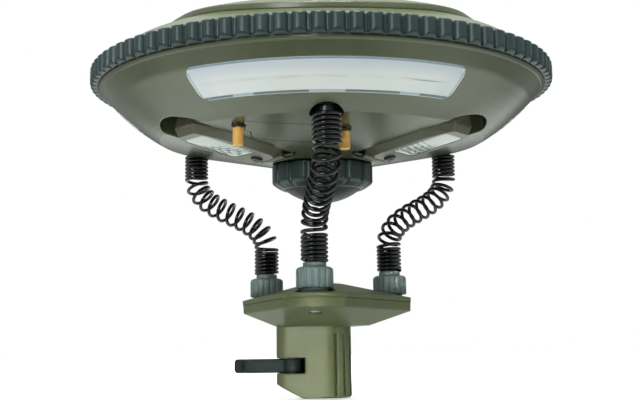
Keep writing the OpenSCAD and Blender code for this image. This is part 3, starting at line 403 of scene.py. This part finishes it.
def lens():
    """Clear cover of a spotlight: its outer half is milky, and leaf-like facets show in its inner half."""
    n = Surface("spotlight_lens")
    u, v = n.plan()
    inner = n.ramp(n.plus(u, n.times(v, 0.30)), 33.5, 32.0)
    slant = n.plus(u, n.times(v, 0.16))
    wobble = n.noise(160, 2, 0.5)
    phase = n.plus(n.times(slant, 1.7), n.times(wobble, 1.5))
    leaf = n.ramp(n.math("SINE", phase), -0.2, 0.9, 0, 1, True)
    col = n.mix(n.times(leaf, 0.9), (0.26, 0.31, 0.32), (0.74, 0.78, 0.77))
    col = n.mix(inner, (0.50, 0.55, 0.53), col)
    inner_end = n.ramp(u, LENS_X + 0.9, LENS_X + 0.4)
    outer_end = n.ramp(u, LENS_X + LENS_L - 0.9, LENS_X + LENS_L - 0.4)
    sides = n.ramp(n.size(v), LENS_WIDE - 0.9, LENS_WIDE - 0.4)
    border = n.most(sides, n.most(inner_end, outer_end))
    n.set("Base Color", n.mix(n.times(border, 0.7), col, (0.30, 0.36, 0.38)))
    n.set("Roughness", n.ramp(wobble, 0.3, 0.7, 0.10, 0.22))
    n.set("Specular IOR Level", 0.45)
    n.set("Coat Weight", 0.5)
    n.set("Coat Roughness", 0.05)
    n.set("Normal", n.bump(leaf, 0.02, 0.0003))
    return n.material


def cells():
    """Glass over dark cells, with thin bright fingers and bus bars."""
    n = Surface("panel_glass")
    cloud = n.noise(60, 4, 0.6)
    x, y, _ = n.parts(n.in_head())

    def lines(place, pitch, width, start=0.0):
        step = n.math("FRACT", n.times(n.plus(place, pitch * 100 + start), 1 / pitch))
        return n.math("LESS_THAN", step, width / pitch)

    fingers = lines(y, 0.0020, 0.00022)
    bars = lines(x, 0.0130, 0.0011, 0.0065)
    gaps = n.most(lines(x, 0.0390, 0.0014), lines(y, 0.0390, 0.0014))
    col = n.mix(n.ramp(cloud, 0.35, 0.65), (0.006, 0.010, 0.035), (0.012, 0.020, 0.060))
    col = n.mix(n.times(fingers, 0.35), col, (0.30, 0.32, 0.36))
    col = n.mix(n.times(bars, 0.8), col, (0.45, 0.46, 0.48))
    n.set("Base Color", n.mix(gaps, col, (0.02, 0.022, 0.026)))
    n.set("Roughness", n.ramp(cloud, 0.3, 0.7, 0.10, 0.18))
    n.set("Coat Weight", 1.0)
    n.set("Coat Roughness", 0.04)
    return n.material


def dotted():
    """The knob's cap: rows of small round pits, slightly darker than what is between them."""
    n = Surface("dotted_cap")
    flat = n.new("ShaderNodeMapping")
    flat.inputs["Rotation"].default_value = (0, 0, radians(38))
    flat.inputs["Scale"].default_value = (1, 1, 0)
    n.link(n.in_head(), flat.inputs["Vector"])
    pits = n.new("ShaderNodeTexVoronoi")
    pits.inputs["Scale"].default_value = 620
    pits.inputs["Randomness"].default_value = 0.0
    n.link(flat.outputs[0], pits.inputs["Vector"])
    dots = n.ramp(pits.outputs["Distance"], 0.30, 0.46, 1, 0)
    cloud = n.noise(200, 3)
    col = n.mix(n.ramp(cloud, 0.35, 0.65), (0.024, 0.032, 0.028), (0.035, 0.045, 0.039))
    n.set("Base Color", n.mix(n.times(dots, 0.75), col, (0.014, 0.019, 0.018)))
    n.set("Roughness", n.ramp(cloud, 0.3, 0.7, 0.36, 0.48))
    n.set("Normal", n.bump(n.minus(1.0, dots), 0.8, 0.0004))
    return n.material


MOULDED = {
    "shell_plastic": dict(color=(0.094, 0.110, 0.054), rough=0.25, edge=0.0014, specular=0.8),
    "bowl_plastic": dict(color=(0.092, 0.108, 0.052), rough=0.25, rough_var=0.02, specular=0.8, bump=0.025,
                         bowl=True),
    "dark_plastic": dict(color=(0.020, 0.043, 0.044), rough=0.36, blotch=0.12, crevice_shade=0.7),
    # Painted light: the nuts are the same dark teal plastic as the rim and knob; this lighter copy, which
    # the ferrules share, paints the front light on them.
    "nut_plastic": dict(color=(0.130, 0.182, 0.174), rough=0.46, blotch=0.10, crevice_shade=0.7),
    "lever_plastic": dict(color=(0.012, 0.024, 0.023), rough=0.56, edge=0.0008, specular=0.28, blotch=0.12,
                          crevice_shade=0.6),
    "clamp_plastic": dict(color=(0.112, 0.128, 0.050), rough=0.46, edge=0.0022, crevice_shade=0.85, reach=0.004),
    "spotlight_plastic": dict(color=(0.112, 0.110, 0.070), rough=0.30, rough_var=0.02, edge=0.0007,
                              bump=0.015, wear=0.08, blotch=0.03, crevice_shade=0.3, dust=0.0),
    "black_plastic": dict(color=(0.014, 0.015, 0.016), rough=0.3, edge=0.0004),
    "rubber": dict(color=(0.010, 0.011, 0.012), rough=0.55, edge=0.0004, grain=1500, bump=0.2),
    "spring_black": dict(color=(0.002, 0.003, 0.003), rough=0.10, edge=0.00005, specular=0.6, bump=0.03,
                         wear=0.0, crevice_shade=0.0),
    "circuit_board": dict(color=(0.02, 0.12, 0.05), rough=0.35, edge=0.0002),
    "battery_wrap": dict(color=(0.02, 0.06, 0.25), rough=0.25, edge=0.001),
}
METALS = {
    "steel": dict(color=(0.85, 0.86, 0.87), rough=0.32),
    "brass": dict(color=(1.0, 0.56, 0.15), rough=0.50, dull=0.85, metallic=0.15),
    "reflector_chrome": dict(color=(0.90, 0.92, 0.94), rough=0.12, bump=0.02, dull=0.93),
}
MATERIALS = {name: moulded(name, **looks) for name, looks in MOULDED.items()}
MATERIALS.update({name: metal(name, **looks) for name, looks in METALS.items()})
MATERIALS.update(window_diffuser=frosted(), spotlight_lens=lens(), panel_glass=cells(), dotted_cap=dotted())

slot_of = {part["node"]: part["material_slot"] for part in frame["record"]["subparts"]}
# Painted shade: the hinge pins are steel, but black plastic here stands for the deep shade at the
# spotlights' inner ends.
slot_of.update(lower_shell="bowl_plastic", battery_hatch="bowl_plastic", pod_hinge_pins="black_plastic")
for name, node in frame["nodes"].items():
    node.data.materials.clear()
    node.data.materials.append(MATERIALS[slot_of[name]])


# Mesh helpers. A shape is its points in millimetres and its faces.
def piece(name, shape, material, place=None, sharp=None, plan=None):
    """A smooth mesh object. Edges beyond an angle stay sharp, and plan gives each point its UV."""
    verts, faces = shape
    place = place or Matrix.Identity(4)
    me = bpy.data.meshes.new(name)
    me.from_pydata([(place @ Vector(v)) * MM for v in verts], [], faces)
    me.update()
    if plan:
        layer = me.uv_layers.new(name="plan")
        for loop in me.loops:
            u, v = plan[loop.vertex_index]
            layer.data[loop.index].uv = (0.5 + u / PLAN_SPAN, 0.5 + v / PLAN_SPAN)
    bm = bmesh.new()
    bm.from_mesh(me)
    bmesh.ops.remove_doubles(bm, verts=bm.verts, dist=1e-7)
    bmesh.ops.recalc_face_normals(bm, faces=bm.faces)
    for face in bm.faces:
        face.smooth = True
    if sharp:
        for edge in bm.edges:
            if len(edge.link_faces) == 2 and edge.calc_face_angle(0) > radians(sharp):
                edge.smooth = False
    bm.to_mesh(me)
    bm.free()
    me.materials.append(material)
    ob = bpy.data.objects.new(name, me)
    scene.collection.objects.link(ob)
    return ob


def grid_faces(rows, cols, wrap_rows=False):
    """Faces between rows of points that each close on themselves."""
    out = []
    for i in range(rows if wrap_rows else rows - 1):
        a, b = i * cols, (i + 1) % rows * cols
        out += [(a + j, a + (j + 1) % cols, b + (j + 1) % cols, b + j) for j in range(cols)]
    return out


def lathe(profile, count, radius=None, closed=False):
    """Rings round Z from (r, z) points. radius(r, z, angle) may change a ring's radius."""
    verts = []
    for r, z in profile:
        for j in range(count):
            a = 2 * pi * j / count
            q = radius(r, z, a) if radius else r
            verts.append((q * cos(a), q * sin(a), z))
    return verts, grid_faces(len(profile), count, closed)


def joined(shapes):
    """One shape of several."""
    verts, faces = [], []
    for more_verts, more_faces in shapes:
        faces += [tuple(i + len(verts) for i in face) for face in more_faces]
        verts += more_verts
    return verts, faces


def moved(shape, place):
    return [tuple(place @ Vector(v)) for v in shape[0]], shape[1]


def on_three(shape, z=0.0):
    """The shape at each of the three springs."""
    return joined([moved(shape, Matrix.Translation(NUT_RING * way(az) + Vector((0, 0, z))))
                   for az in THREE.values()])


def skin(rings):
    """Closed skin over rings with the same number of points."""
    n = len(rings[0])
    faces = grid_faces(len(rings), n)
    faces += [tuple(range(n - 1, -1, -1)), tuple(range((len(rings) - 1) * n, len(rings) * n))]
    return [point for ring in rings for point in ring], faces


def tube(path, r, sides=14):
    """A round tube along a list of points."""
    n = len(path)
    tangents = [(path[min(i + 1, n - 1)] - path[max(i - 1, 0)]).normalized() for i in range(n)]
    out = tangents[0].orthogonal().normalized()
    turns = [2 * pi * k / sides for k in range(sides)]
    rings = []
    for p, t in zip(path, tangents):
        out = (out - out.dot(t) * t).normalized()
        over = t.cross(out)
        rings.append([p + r * (cos(a) * out + sin(a) * over) for a in turns])
    return skin(rings)


def arc(x, z, r, a0, a1, n):
    """Points on a circle round (x, z) from angle a0 to a1, in n steps."""
    turns = [radians(a0 + (a1 - a0) * i / n) for i in range(n + 1)]
    return [(x + r * cos(a), z + r * sin(a)) for a in turns]


def rounded(half_l, half_w, corner, long=1, short=1, turn=6):
    """Points round a rectangle with round corners."""
    corners, out = [], []
    for k, (sx, sy) in enumerate(((1, 1), (-1, 1), (-1, -1), (1, -1))):
        x, y = sx * (half_l - corner), sy * (half_w - corner)
        corners.append(arc(x, y, corner, 90 * k, 90 * k + 90, turn))
    for k in range(4):
        out += corners[k]
        (ax, ay), (bx, by) = corners[k][-1], corners[(k + 1) % 4][0]
        steps = long if k in (0, 2) else short
        out += [(ax + (bx - ax) * i / steps, ay + (by - ay) * i / steps) for i in range(1, steps)]
    return out


def plate(steps, half_l, half_w, corner, least, long, short):
    """Rings (u, v, height) of a plate with round corners, from (inset, height) steps."""
    rings = []
    for inset, height in steps:
        outline = rounded(half_l - inset, half_w - inset, max(corner - inset, least), long, short)
        rings.append([(u, v, height) for u, v in outline])
    return rings


def ribbed(count, depth, phase, soft):
    """Depth of the grooves between ribs, as a function of the angle."""
    def groove(a):
        t = ((a - phase) * count / (2 * pi)) % 1.0
        return depth * (1 - smoothstep((min(t, 1 - t) - 0.07) / soft / 2))
    return groove


# Springs
POINTS_PER_TURN = 40


def spring(name, az):
    """One wire: closed on its ferrule, open over the bend, and closed again in the head's socket."""
    up = Vector((0, 0, 1))
    head_up = (HEAD @ up - HEAD @ Vector((0, 0, 0))).normalized()
    low = NUT_RING * way(az) + up * COIL_Z
    high = HEAD @ (HOLE_RING * way(az) + up * SPRING_CAP)
    open_low, open_high = low + up * CLOSED_LOW, high - head_up * CLOSED_HIGH
    total = CURLS_LOW + CURLS_MID + CURLS_HIGH
    across = up.cross(high - low)
    foot = FERRULE_H - COIL_UP + WIRE / 2 + 0.1

    def axis(q):
        """Place, direction and side of the spring's axis after q turns."""
        u = max(0, min(1, (q - CURLS_LOW) / CURLS_MID))
        if q <= CURLS_LOW:
            p, t = low + up * (foot + (CLOSED_LOW - foot) * q / CURLS_LOW), up
        elif q >= CURLS_LOW + CURLS_MID:
            down = END_RISE + (CLOSED_HIGH - END_RISE) * (total - q) / CURLS_HIGH
            p, t = high - head_up * down, head_up
        else:
            p = (open_low * (1 + 2 * u) * (1 - u) ** 2 + open_high * u * u * (3 - 2 * u)
                 + up * SPRING_LEAD * u * (1 - u) ** 2 + head_up * SPRING_LEAD * u * u * (u - 1))
            t = ((open_high - open_low) * 6 * u * (1 - u) + up * SPRING_LEAD * (1 - u) * (1 - 3 * u)
                 + head_up * SPRING_LEAD * u * (3 * u - 2)).normalized()
        return p, t, (across - across.dot(t) * t).normalized()

    def wire(q, turn, lift=0.0):
        p, t, side = axis(q)
        return p + COIL_R * (cos(radians(turn)) * side + sin(radians(turn)) * t.cross(side)) + lift * t

    count = int(total * POINTS_PER_TURN)
    path = [wire(0, END_TURN - 150 + 10 * i, 0.02 * i - 0.3) for i in range(15)]
    path += [wire(total * i / count, END_TURN + 360 * total * i / count) for i in range(count + 1)]
    last = END_TURN + 360 * total
    path += [wire(total, last + END_TURN * k, lift) for k, lift in
             ((0.5, 0.25), (0.82, 0.75), (1, END_RISE - WIRE), (1, END_RISE - WIRE / 2), (1, END_RISE))]
    ob = piece(name + "_coil", tube(path, WIRE / 2), MATERIALS["spring_black"])
    tuple(axis(0)[0] * MM)
    tuple(axis(total)[0] * MM)
    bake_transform(ob)
    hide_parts(name)


for side, az in THREE.items():
    spring("spring_" + side, az)


def ferrules():
    """The low shoulder that each spring stands on, and the stem inside it."""
    z = NUT_Z + NUT_H
    top = z + FERRULE_H
    end = z + 16
    shoulder = [(0, NUT_Z - COLLAR_H), (STEM_R, NUT_Z - COLLAR_H), (STEM_R, z - 0.2),
                (FERRULE_R - 0.6, z - 0.2), (FERRULE_R, z + 0.2), (FERRULE_R, top - 0.5),
                (FERRULE_R - 0.15, top - 0.15), (FERRULE_R - 0.5, top), (0, top)]
    stem = [(0, z + 1), (STEM_R - 0.5, z + 1), (STEM_R - 0.5, end - 1.2), (STEM_R - 0.9, end - 0.4),
            (STEM_R - 1.8, end), (0, end)]
    for name, profile, material in (("ferrule_set", shoulder, "nut_plastic"),
                                    ("stem_set", stem, "black_plastic")):
        ob = piece(name, on_three(lathe(profile, 48)), MATERIALS[material], sharp=50)
        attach(ob, "base")
        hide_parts("spring_ferrules")


ferrules()


# Rim ring and the bowl's lip
def rim():
    """Convex ribs with rounded ends, and narrow grooves between them with a slightly raised floor."""
    pitch, half = 2 * pi / RIBS, 0.39
    low_round, high_round = 2.5, 1.3
    rib_fall, groove_depth, floor_rise = 2.3, 3.05, 0.28
    shares = (0.2, 0.4, 0.6, 0.76, 0.88, 0.96, 1)
    rib = [half * t for t in (*(-t for t in reversed(shares)), 0, *shares)]
    cuts = [-0.5, -0.455, -0.412, -0.398] + rib + [0.398, 0.412, 0.455]

    def outer(c, z):
        """Radius at a share of the pitch from a rib's middle, and at a height."""
        c = abs(c)
        t = c / half
        on_rib = t <= 1.001
        if on_rib:
            q = RIM_R - rib_fall * t ** 2.7
        else:
            q = RIM_R - groove_depth + floor_rise * smoothstep((c - 0.40) / 0.1)
        for end, e in ((z - RIM_LOW, low_round), (RIM_HIGH - z, high_round)):
            if end < e:
                drop = (e - math.sqrt(max(0, e * e - (e - end) ** 2))) * 1.1
                q = min(q, RIM_R - drop - 0.75 * t ** 2 * (1 - end / e)) if on_rib else q - 0.5 * drop
        return q

    heights = [RIM_LOW + up for up in (0, 0.1, 0.3, 0.6, 1.0, 1.5, 2.1, 2.8, RIM_H / 2)]
    heights += [RIM_HIGH - down for down in (2.4, 1.4, 0.9, 0.5, 0.2, 0.06, 0)]
    angles = [((k + 0.5 + c) * pitch, c) for k in range(RIBS) for c in cuts]
    inside = RING_IN + 0.1
    verts = [(inside * cos(a), inside * sin(a), RIM_LOW) for a, c in angles]
    for z in heights:
        verts += [(outer(c, z) * cos(a), outer(c, z) * sin(a), z) for a, c in angles]
    verts += [(inside * cos(a), inside * sin(a), RIM_HIGH) for a, c in angles]
    ring = verts, grid_faces(len(heights) + 2, len(angles), wrap_rows=True)
    ob = piece("rim_ribs", ring, MATERIALS["dark_plastic"], HEAD)
    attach(ob, "head")
    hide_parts("rim_ring")


def bowl_lip():
    """A narrow cone that carries the bowl's side on to the ring."""
    end_r, end_z = SIDE[0]
    z = side_at(end_r - 0.4)[0]
    profile = [(end_r - 0.8, z + 0.6), (end_r - 0.4, z - 0.02), (end_r, end_z - 0.03),
               (end_r + 0.9, end_z + 0.84), (end_r + 1.8, RIM_LOW + 0.02), (end_r + 0.7, RIM_LOW + 0.3)]
    ob = piece("bowl_lip", lathe(profile, 360), MATERIALS["bowl_plastic"], HEAD)
    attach(ob, "head")


rim()
bowl_lip()


# Windows
def window(name, az):
    """A milky plate let into the bowl's side: a flat border, a fine groove and a slightly crowned field."""
    steps = [(2.0, -1.6), (0.05, -0.25), (0.0, 0.0), (0.12, 0.16), (0.35, 0.24), (1.05, 0.26), (1.25, 0.08),
             (1.5, 0.04), (1.75, 0.2), (2.4, 0.3), (3.6, 0.38), (5.2, 0.42), (6.9, 0.44), (8.2, 0.44)]
    rings = plate(steps, WINDOW_LONG, WINDOW_WIDE, WINDOW_CORNER, least=0.25, long=48, short=6)

    def on_side(u, v, height):
        low = WINDOW_R - WINDOW_DOWN + v
        z, out = side_at(low)
        r, a = low + height * out[0], u / WINDOW_R
        return r * cos(a), r * sin(a), z + height * out[1]

    shape = skin([[on_side(*point) for point in ring] for ring in rings])
    plan = [(u, v) for ring in rings for u, v, _ in ring]
    ob = piece(name + "_plate", shape, MATERIALS["window_diffuser"], turned(az), plan=plan)
    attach(ob, "head")
    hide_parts(name)


for side, az in THREE.items():
    window("window_" + side, az)


# Spotlights
def spotlight(side):
    """A clear lens with a crowned face, and a button with a dished end."""
    place = pod_place(POD_AZ[side])
    middle = LENS_X + LENS_L / 2
    steps = [(0.5, 1.5), (0.05, 1.4), (0.05, 0.45), (0.15, 0.15), (0.5, 0.02), (1.2, -0.02), (3, -0.14),
             (6, -0.28), (9, -0.34), (11.7, -0.36)]
    rings = plate(steps, LENS_L / 2, LENS_WIDE, LENS_CORNER, least=0.2, long=30, short=20)
    rings = [[(middle + u, v, z) for u, v, z in ring] for ring in rings]
    plan = [(u, v) for ring in rings for u, v, _ in ring]
    ob = piece("lens_" + side, skin(rings), MATERIALS["spotlight_lens"], place, sharp=40, plan=plan)
    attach(ob, "spotlight_" + side)
    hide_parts("pod_lens_" + side)
    profile = [(0, 5.0), (3.7, 5.0), (3.78, 0.2), (3.72, -0.5), (3.5, -0.95), (3.1, -1.22), (2.6, -1.3),
               (2.15, -1.2), (1.7, -0.98), (1.0, -0.86), (0, -0.82)]
    button = place @ Matrix.Translation((BUTTON_X, 0, 0))
    ob = piece("button_cap_" + side, lathe(profile, 40), MATERIALS["black_plastic"], button, sharp=60)
    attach(ob, "button_" + side)
    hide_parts("pod_button_" + side)


for side in POD_AZ:
    spotlight(side)


# Knob and its cap
def knob():
    """A grooved wall, a chamfer that the grooves run out in, and a seat for the cap."""
    top = floor_z(KNOB_R + 0.6) - 0.6
    low = top - KNOB_WALL
    foot = low - KNOB_CHAMFER
    groove = ribbed(KNOB_RIBS, depth=1.7, phase=radians(5), soft=0.05)
    wall = [(0, 4), (0, KNOB_WALL - 2), (0.02, KNOB_WALL - 1), (0.25, KNOB_WALL - 0.2)]
    chamfer = [(0.9, 0.6), (2.4, 1.7), (4.6, 3.1), (5.6, KNOB_CHAMFER - 0.3), (6.4, KNOB_CHAMFER),
               (8.0, KNOB_CHAMFER), (8.35, KNOB_CHAMFER - 0.15), (8.45, KNOB_CHAMFER - 0.9)]
    profile = [(8, top), (KNOB_R - 2.2, top)] + arc(KNOB_R - 1.0, top - 1.0, 1.0, 90, 0, 4)
    profile += [(KNOB_R - inset, top - down) for inset, down in wall]
    profile += [(KNOB_R - inset, low - down) for inset, down in chamfer]
    profile += [(12, foot + 0.9)]

    def shape(r, z, a):
        share = 1.0 if z >= low - 0.1 else max(0, 1 - (low - 0.1 - z) / 3.6)
        share = max(share, 0.3) if r > KNOB_R - 5.2 else share
        return r - (groove(a) * share if r > KNOB_R - 7 else 0)

    body = lathe(profile, KNOB_RIBS * 24, shape)
    ob = piece("knob_body", body, MATERIALS["dark_plastic"], HEAD, sharp=50)
    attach(ob, "knob")
    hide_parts("control_knob")
    return foot


def knob_dome(foot):
    """A shallow part of a ball below the knob."""
    cap_r = KNOB_R - 8.6
    ball = (cap_r * cap_r + CAP_H * CAP_H) / (2 * CAP_H)
    middle = foot - CAP_H + ball
    end = math.asin(min(1, (cap_r - 0.1) / ball))
    turns = [end * (1 - i / 24) for i in range(1, 25)]
    profile = [(cap_r - 3, foot + 0.9), (cap_r - 0.3, foot + 0.9), (cap_r - 0.1, foot + 0.6),
               (cap_r - 0.1, foot)]
    profile += [(ball * sin(a), middle - ball * cos(a)) for a in turns]
    ob = piece("knob_dome", lathe(profile, 96), MATERIALS["dotted_cap"], HEAD)
    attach(ob, "knob")
    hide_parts("knob_cap")


knob_dome(knob())


# Thumbscrews beside the hatch
def thumbscrew(side):
    """A knurled brass head with a small chamfer, on its thread."""
    x, thread_r, end = THUMB_X[side], 1.45, THUMB_L + 8
    base = floor_z(math.hypot(x, THUMB_Y)) - 1 - THUMB_L
    profile = [(0, 0.4), (0.7, 0.35), (1.0, 0), (2.2, 0), (2.55, 0.12), (2.95, 0.5)]
    profile += [(THUMB_R, 0.8 + 0.15 * i) for i in range(63)]
    profile += [(THUMB_R - 0.2, THUMB_L - 0.7), (THUMB_R - 0.6, THUMB_L - 0.3), (thread_r, THUMB_L - 0.25),
                (thread_r, end - 0.5), (thread_r - 0.35, end), (0, end)]

    def knurl(r, z, a):
        if r < THUMB_R - 0.01:
            return r
        share = max(0, min(1, (z - 0.7) / 0.5, (THUMB_L - 0.8 - z) / 0.5))
        return r - 0.17 * share * (2 - abs(sin(9 * a + z * 3.1)) - abs(sin(9 * a - z * 3.1))) ** 0.8

    place = HEAD @ Matrix.Translation((x, THUMB_Y, base))
    ob = piece("thumb_" + side, lathe(profile, 108, knurl), MATERIALS["brass"], place)
    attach(ob, "screw_" + side)
    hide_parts("hatch_screw_" + side)


for side in THUMB_X:
    thumbscrew(side)


def washers():
    """Thin rubber rings under the thumbscrews."""
    ring_r, wire_r = 3.45, 0.55
    ring = lathe(arc(ring_r, 0, wire_r, 0, 360, 12)[:-1], 40, closed=True)
    places = [Matrix.Translation((x, THUMB_Y, floor_z(math.hypot(x, THUMB_Y)) - wire_r))
              for x in THUMB_X.values()]
    rings = joined([moved(ring, HEAD @ place) for place in places])
    ob = piece("thumb_washers", rings, MATERIALS["rubber"])
    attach(ob, "head")
    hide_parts("hatch_washers")


washers()


# Spring nuts
def nuts():
    """A collar on the seat, and a ribbed body whose grooves run out below its rounded top."""
    groove = ribbed(NUT_RIBS, depth=0.8, phase=0, soft=0.08)
    profile = [(COLLAR_R - 0.4, -COLLAR_H + 0.02), (COLLAR_R, -COLLAR_H + 0.3), (COLLAR_R, -0.4),
               (COLLAR_R + 0.3, 0), (NUT_R - 1.0, 0), (NUT_R - 0.35, 0.12), (NUT_R, 0.7), (NUT_R, 4),
               (NUT_R, 8), (NUT_R, NUT_H - 2.6)]
    profile += arc(NUT_R - 2.4, NUT_H - 2.4, 2.4, 12, 90, 6) + [(STEM_R + 0.2, NUT_H)]

    def shape(r, z, a):
        if z < 0.1 or r < NUT_R - 2:
            return r
        return r - groove(a) * smoothstep((NUT_H - 0.6 - z) / 2.0)

    nut = lathe(profile, NUT_RIBS * 18, shape)
    ob = piece("nut_set", on_three(nut, NUT_Z), MATERIALS["nut_plastic"], sharp=60)
    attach(ob, "base")
    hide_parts("spring_nuts")


nuts()


# Screws under the lobes
def cover_screws():
    """Domed cross-head screws, seen in their recesses under the lobes."""
    profile = ((0, 0.75), (0.45, 0.7), (1.0, 0.45), (1.75, 0.25), (2.1, 0.1), (2.6, 0.22), (3.2, 0.55),
               (SCREW_R, 1.1), (SCREW_R, 1.9), (3.2, 2.3), (1.6, 2.4), (1.6, 17), (0, 17))

    def height(r, h, a):
        """The profile's height, with the cross cut into the head's middle."""
        if r >= 2.3 or h >= 1:
            return h
        near = min(abs(r * sin(a)), abs(r * cos(a)))
        in_cross = near < CROSS_ARM * (1 - r / 3.2) + 0.12 and r < 2.05
        return 1.5 - 0.35 * r if in_cross else 0.12 * r ** 1.3 * 0.3

    turns = [2 * pi * j / 64 for j in range(64)]
    rings = [[(r * cos(a), r * sin(a), SCREW_Z + height(r, h, a)) for a in turns] for r, h in profile]
    ob = piece("screw_heads", on_three(skin(rings)), MATERIALS["steel"], sharp=35)
    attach(ob, "base")
    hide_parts("cover_screws")


cover_screws()


# Clamp lever
def lever():
    """Curved arm with rounded edges, a thicker finger end behind a groove, and the cam round the pin."""
    half_w, half_h = LEVER_W / 2, LEVER_H / 2
    pivot = Vector(PIVOT)
    bend, tip = pivot + Vector((-20, -4)), Vector((1 - LEVER_REACH, PIVOT[1] + 1.5))
    steps = 40
    line = [pivot * (1 - t) ** 2 + bend * 2 * t * (1 - t) + tip * t ** 2
            for t in (i / steps for i in range(steps + 1))]

    def section(p, side, w, h, corner):
        outline = rounded(w, h, corner, turn=4)
        return [(p.x + side.x * s, p.y + side.y * s, LEVER_Z + half_h + z) for s, z in outline]

    rings = []
    for i, p in enumerate(line):
        along = line[min(i + 1, steps)] - line[max(i - 1, 0)]
        side = Vector((-along.y, along.x)).normalized()
        cut = 1.1 * (1 - smoothstep(abs(p.x - GROOVE_X)))
        grow, corner = (0.3, 2.0) if p.x < FINGER_X else (0, 1.3)
        taper = 1 - smoothstep((p.x + LEVER_REACH - 0.2) / 2.2)
        w, h = half_w - cut + grow - 1.5 * taper, half_h - cut * 0.5 - 0.9 * taper
        rings.append(section(p, side, w, h, corner))
    across = Vector((0, 1))
    rings.append(section(Vector((tip.x - 0.75, tip.y)), across, half_w - 1.9, half_h - 1.3, 0.8))
    rings.append(section(Vector((tip.x - 0.85, tip.y)), across, half_w - 2.6, half_h - 2.0, 0.6))

    high_side = math.atan2(PIVOT[1], PIVOT[0]) + pi / 2

    def cam(r, z, a):
        return r + (CAM_THROW * max(0, cos(a - high_side)) if r > 4 else 0)

    profile = [(PIN_HOLE, 0), (CAM_R - 0.5, 0), (CAM_R - 0.15, 0.15), (CAM_R, 0.5), (CAM_R, LEVER_H - 0.5),
               (CAM_R - 0.15, LEVER_H - 0.15), (CAM_R - 0.5, LEVER_H), (PIN_HOLE, LEVER_H), (PIN_HOLE, 0)]
    root = moved(lathe(profile, 72, cam), Matrix.Translation((*PIVOT, LEVER_Z)))
    ob = piece("lever_arm", joined([skin(rings), root]), MATERIALS["lever_plastic"], sharp=45)
    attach(ob, "lever")
    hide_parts("cam_lever")


lever()


# Floor and light
SKY_TINT = (0.93, 1.0, 0.94)
SKY_ALL, SKY_LOW, SKY_SIDE, SKY_TOP, SKY_GLOW = 0.16, 1.08, 0.65, 0.75, 1.1
FLOOR_HALF, FLOOR_Z = 6.0, -0.0008
LAMPS = (
    dict(name="key", place=(-0.5, -1.55, 0.38), aim=(0, 0, 0.15), size=(0.5, 0.28), power=6.5),
    dict(name="top", place=(0.1, -0.72, 1.6), aim=(0, 0, 0.2), size=(0.8, 0.4), power=34),
    dict(name="tray", place=(0, -1.2, -0.42), aim=(0, -0.05, 0.03), size=(0.5, 0.35), power=8.5, spread=14,
         mirrored=False),
    dict(name="back", place=(-0.8, 1.5, 0.8), aim=(0, 0, 0.15), size=(1.0, 0.8), power=10, mirrored=False),
)


def sky():
    """White for the camera. The object is lit by a studio, bright below and behind, dark in front."""
    world = bpy.data.worlds.new("studio")
    scene.world = world
    world.use_nodes = True
    n = Nodes(world.node_tree)
    x, y, z = n.parts(n.new("ShaderNodeTexCoord").outputs["Generated"])
    aside = n.size(x)

    def step(value, lo, hi, a, b):
        return n.ramp(value, lo, hi, a, b, smooth=True)

    behind = step(y, -0.25, 0.10, 0, 1)
    low_behind, low_front = step(z, -0.88, -0.30, 1, 0), step(z, -0.87, -0.76, 1, 0)
    low = n.plus(low_front, n.times(behind, n.minus(low_behind, low_front)))
    straight_down = n.times(step(z, -0.985, -0.955, 1, 0), step(y, 0.0, 0.16, 1, 0))
    low = n.times(low, n.minus(1.0, straight_down))
    side = n.times(step(aside, 0.3, 0.65, 0, SKY_SIDE), step(z, -0.42, -0.34, 1, 0.4))
    glow = n.times(step(z, -0.50, -0.38, 0, SKY_GLOW), step(z, -0.12, -0.02, 1, 0))
    glow = n.times(n.times(glow, step(aside, 0.40, 0.65, 1, 0)), step(y, 0.3, 0.7, 0, 1))
    top = n.plus(step(z, 0.15, 0.8, 0, SKY_TOP), glow)
    studio = n.new("ShaderNodeBackground")
    n.feed(SKY_TINT, studio.inputs["Color"])
    n.feed(n.plus(n.plus(n.times(low, SKY_LOW), n.plus(side, top)), SKY_ALL), studio.inputs["Strength"])
    white = n.new("ShaderNodeBackground")
    n.feed((1, 1, 1), white.inputs["Color"])
    seen = n.new("ShaderNodeMixShader")
    n.link(n.new("ShaderNodeLightPath").outputs["Is Camera Ray"], seen.inputs[0])
    n.link(studio.outputs[0], seen.inputs[1])
    n.link(white.outputs[0], seen.inputs[2])
    n.link(seen.outputs[0], n.new("ShaderNodeOutputWorld").inputs[0])


def lay_floor():
    """Pale paper that glows a little, and that the object isn't lit by."""
    n = Surface("floor_paper")
    n.set("Base Color", n.mix(n.ramp(n.noise(400, 3), 0.3, 0.7), (0.93, 0.93, 0.93), (0.96, 0.96, 0.96)))
    n.set("Roughness", 0.8)
    n.set("Specular IOR Level", 0.1)
    n.set("Emission Color", (1, 1, 1))
    n.set("Emission Strength", 0.55)
    me = bpy.data.meshes.new("floor")
    signs = ((-1, -1), (1, -1), (1, 1), (-1, 1))
    me.from_pydata([(x * FLOOR_HALF, y * FLOOR_HALF, FLOOR_Z) for x, y in signs], [], [(0, 1, 2, 3)])
    me.materials.append(n.material)
    ob = bpy.data.objects.new("floor", me)
    scene.collection.objects.link(ob)
    ob.visible_diffuse = False
    ob.visible_glossy = False
    ob.visible_transmission = False


def lamp(name, place, aim, size, power, spread=180, mirrored=True):
    """An area lamp. One that isn't mirrored leaves no bright spot on glossy pieces."""
    light = bpy.data.lights.new(name, "AREA")
    light.shape = "RECTANGLE"
    light.size, light.size_y = size
    light.energy = power
    light.spread = radians(spread)
    ob = bpy.data.objects.new(name, light)
    scene.collection.objects.link(ob)
    place = Vector(place)
    turn = (Vector(aim) - place).to_track_quat("-Z", "Y").to_matrix().to_4x4()
    ob.matrix_world = Matrix.Translation(place) @ turn
    ob.visible_camera = False
    ob.visible_glossy = mirrored


lay_floor()
sky()
for values in LAMPS:
    lamp(**values)
scene.view_settings.view_transform = "Standard"
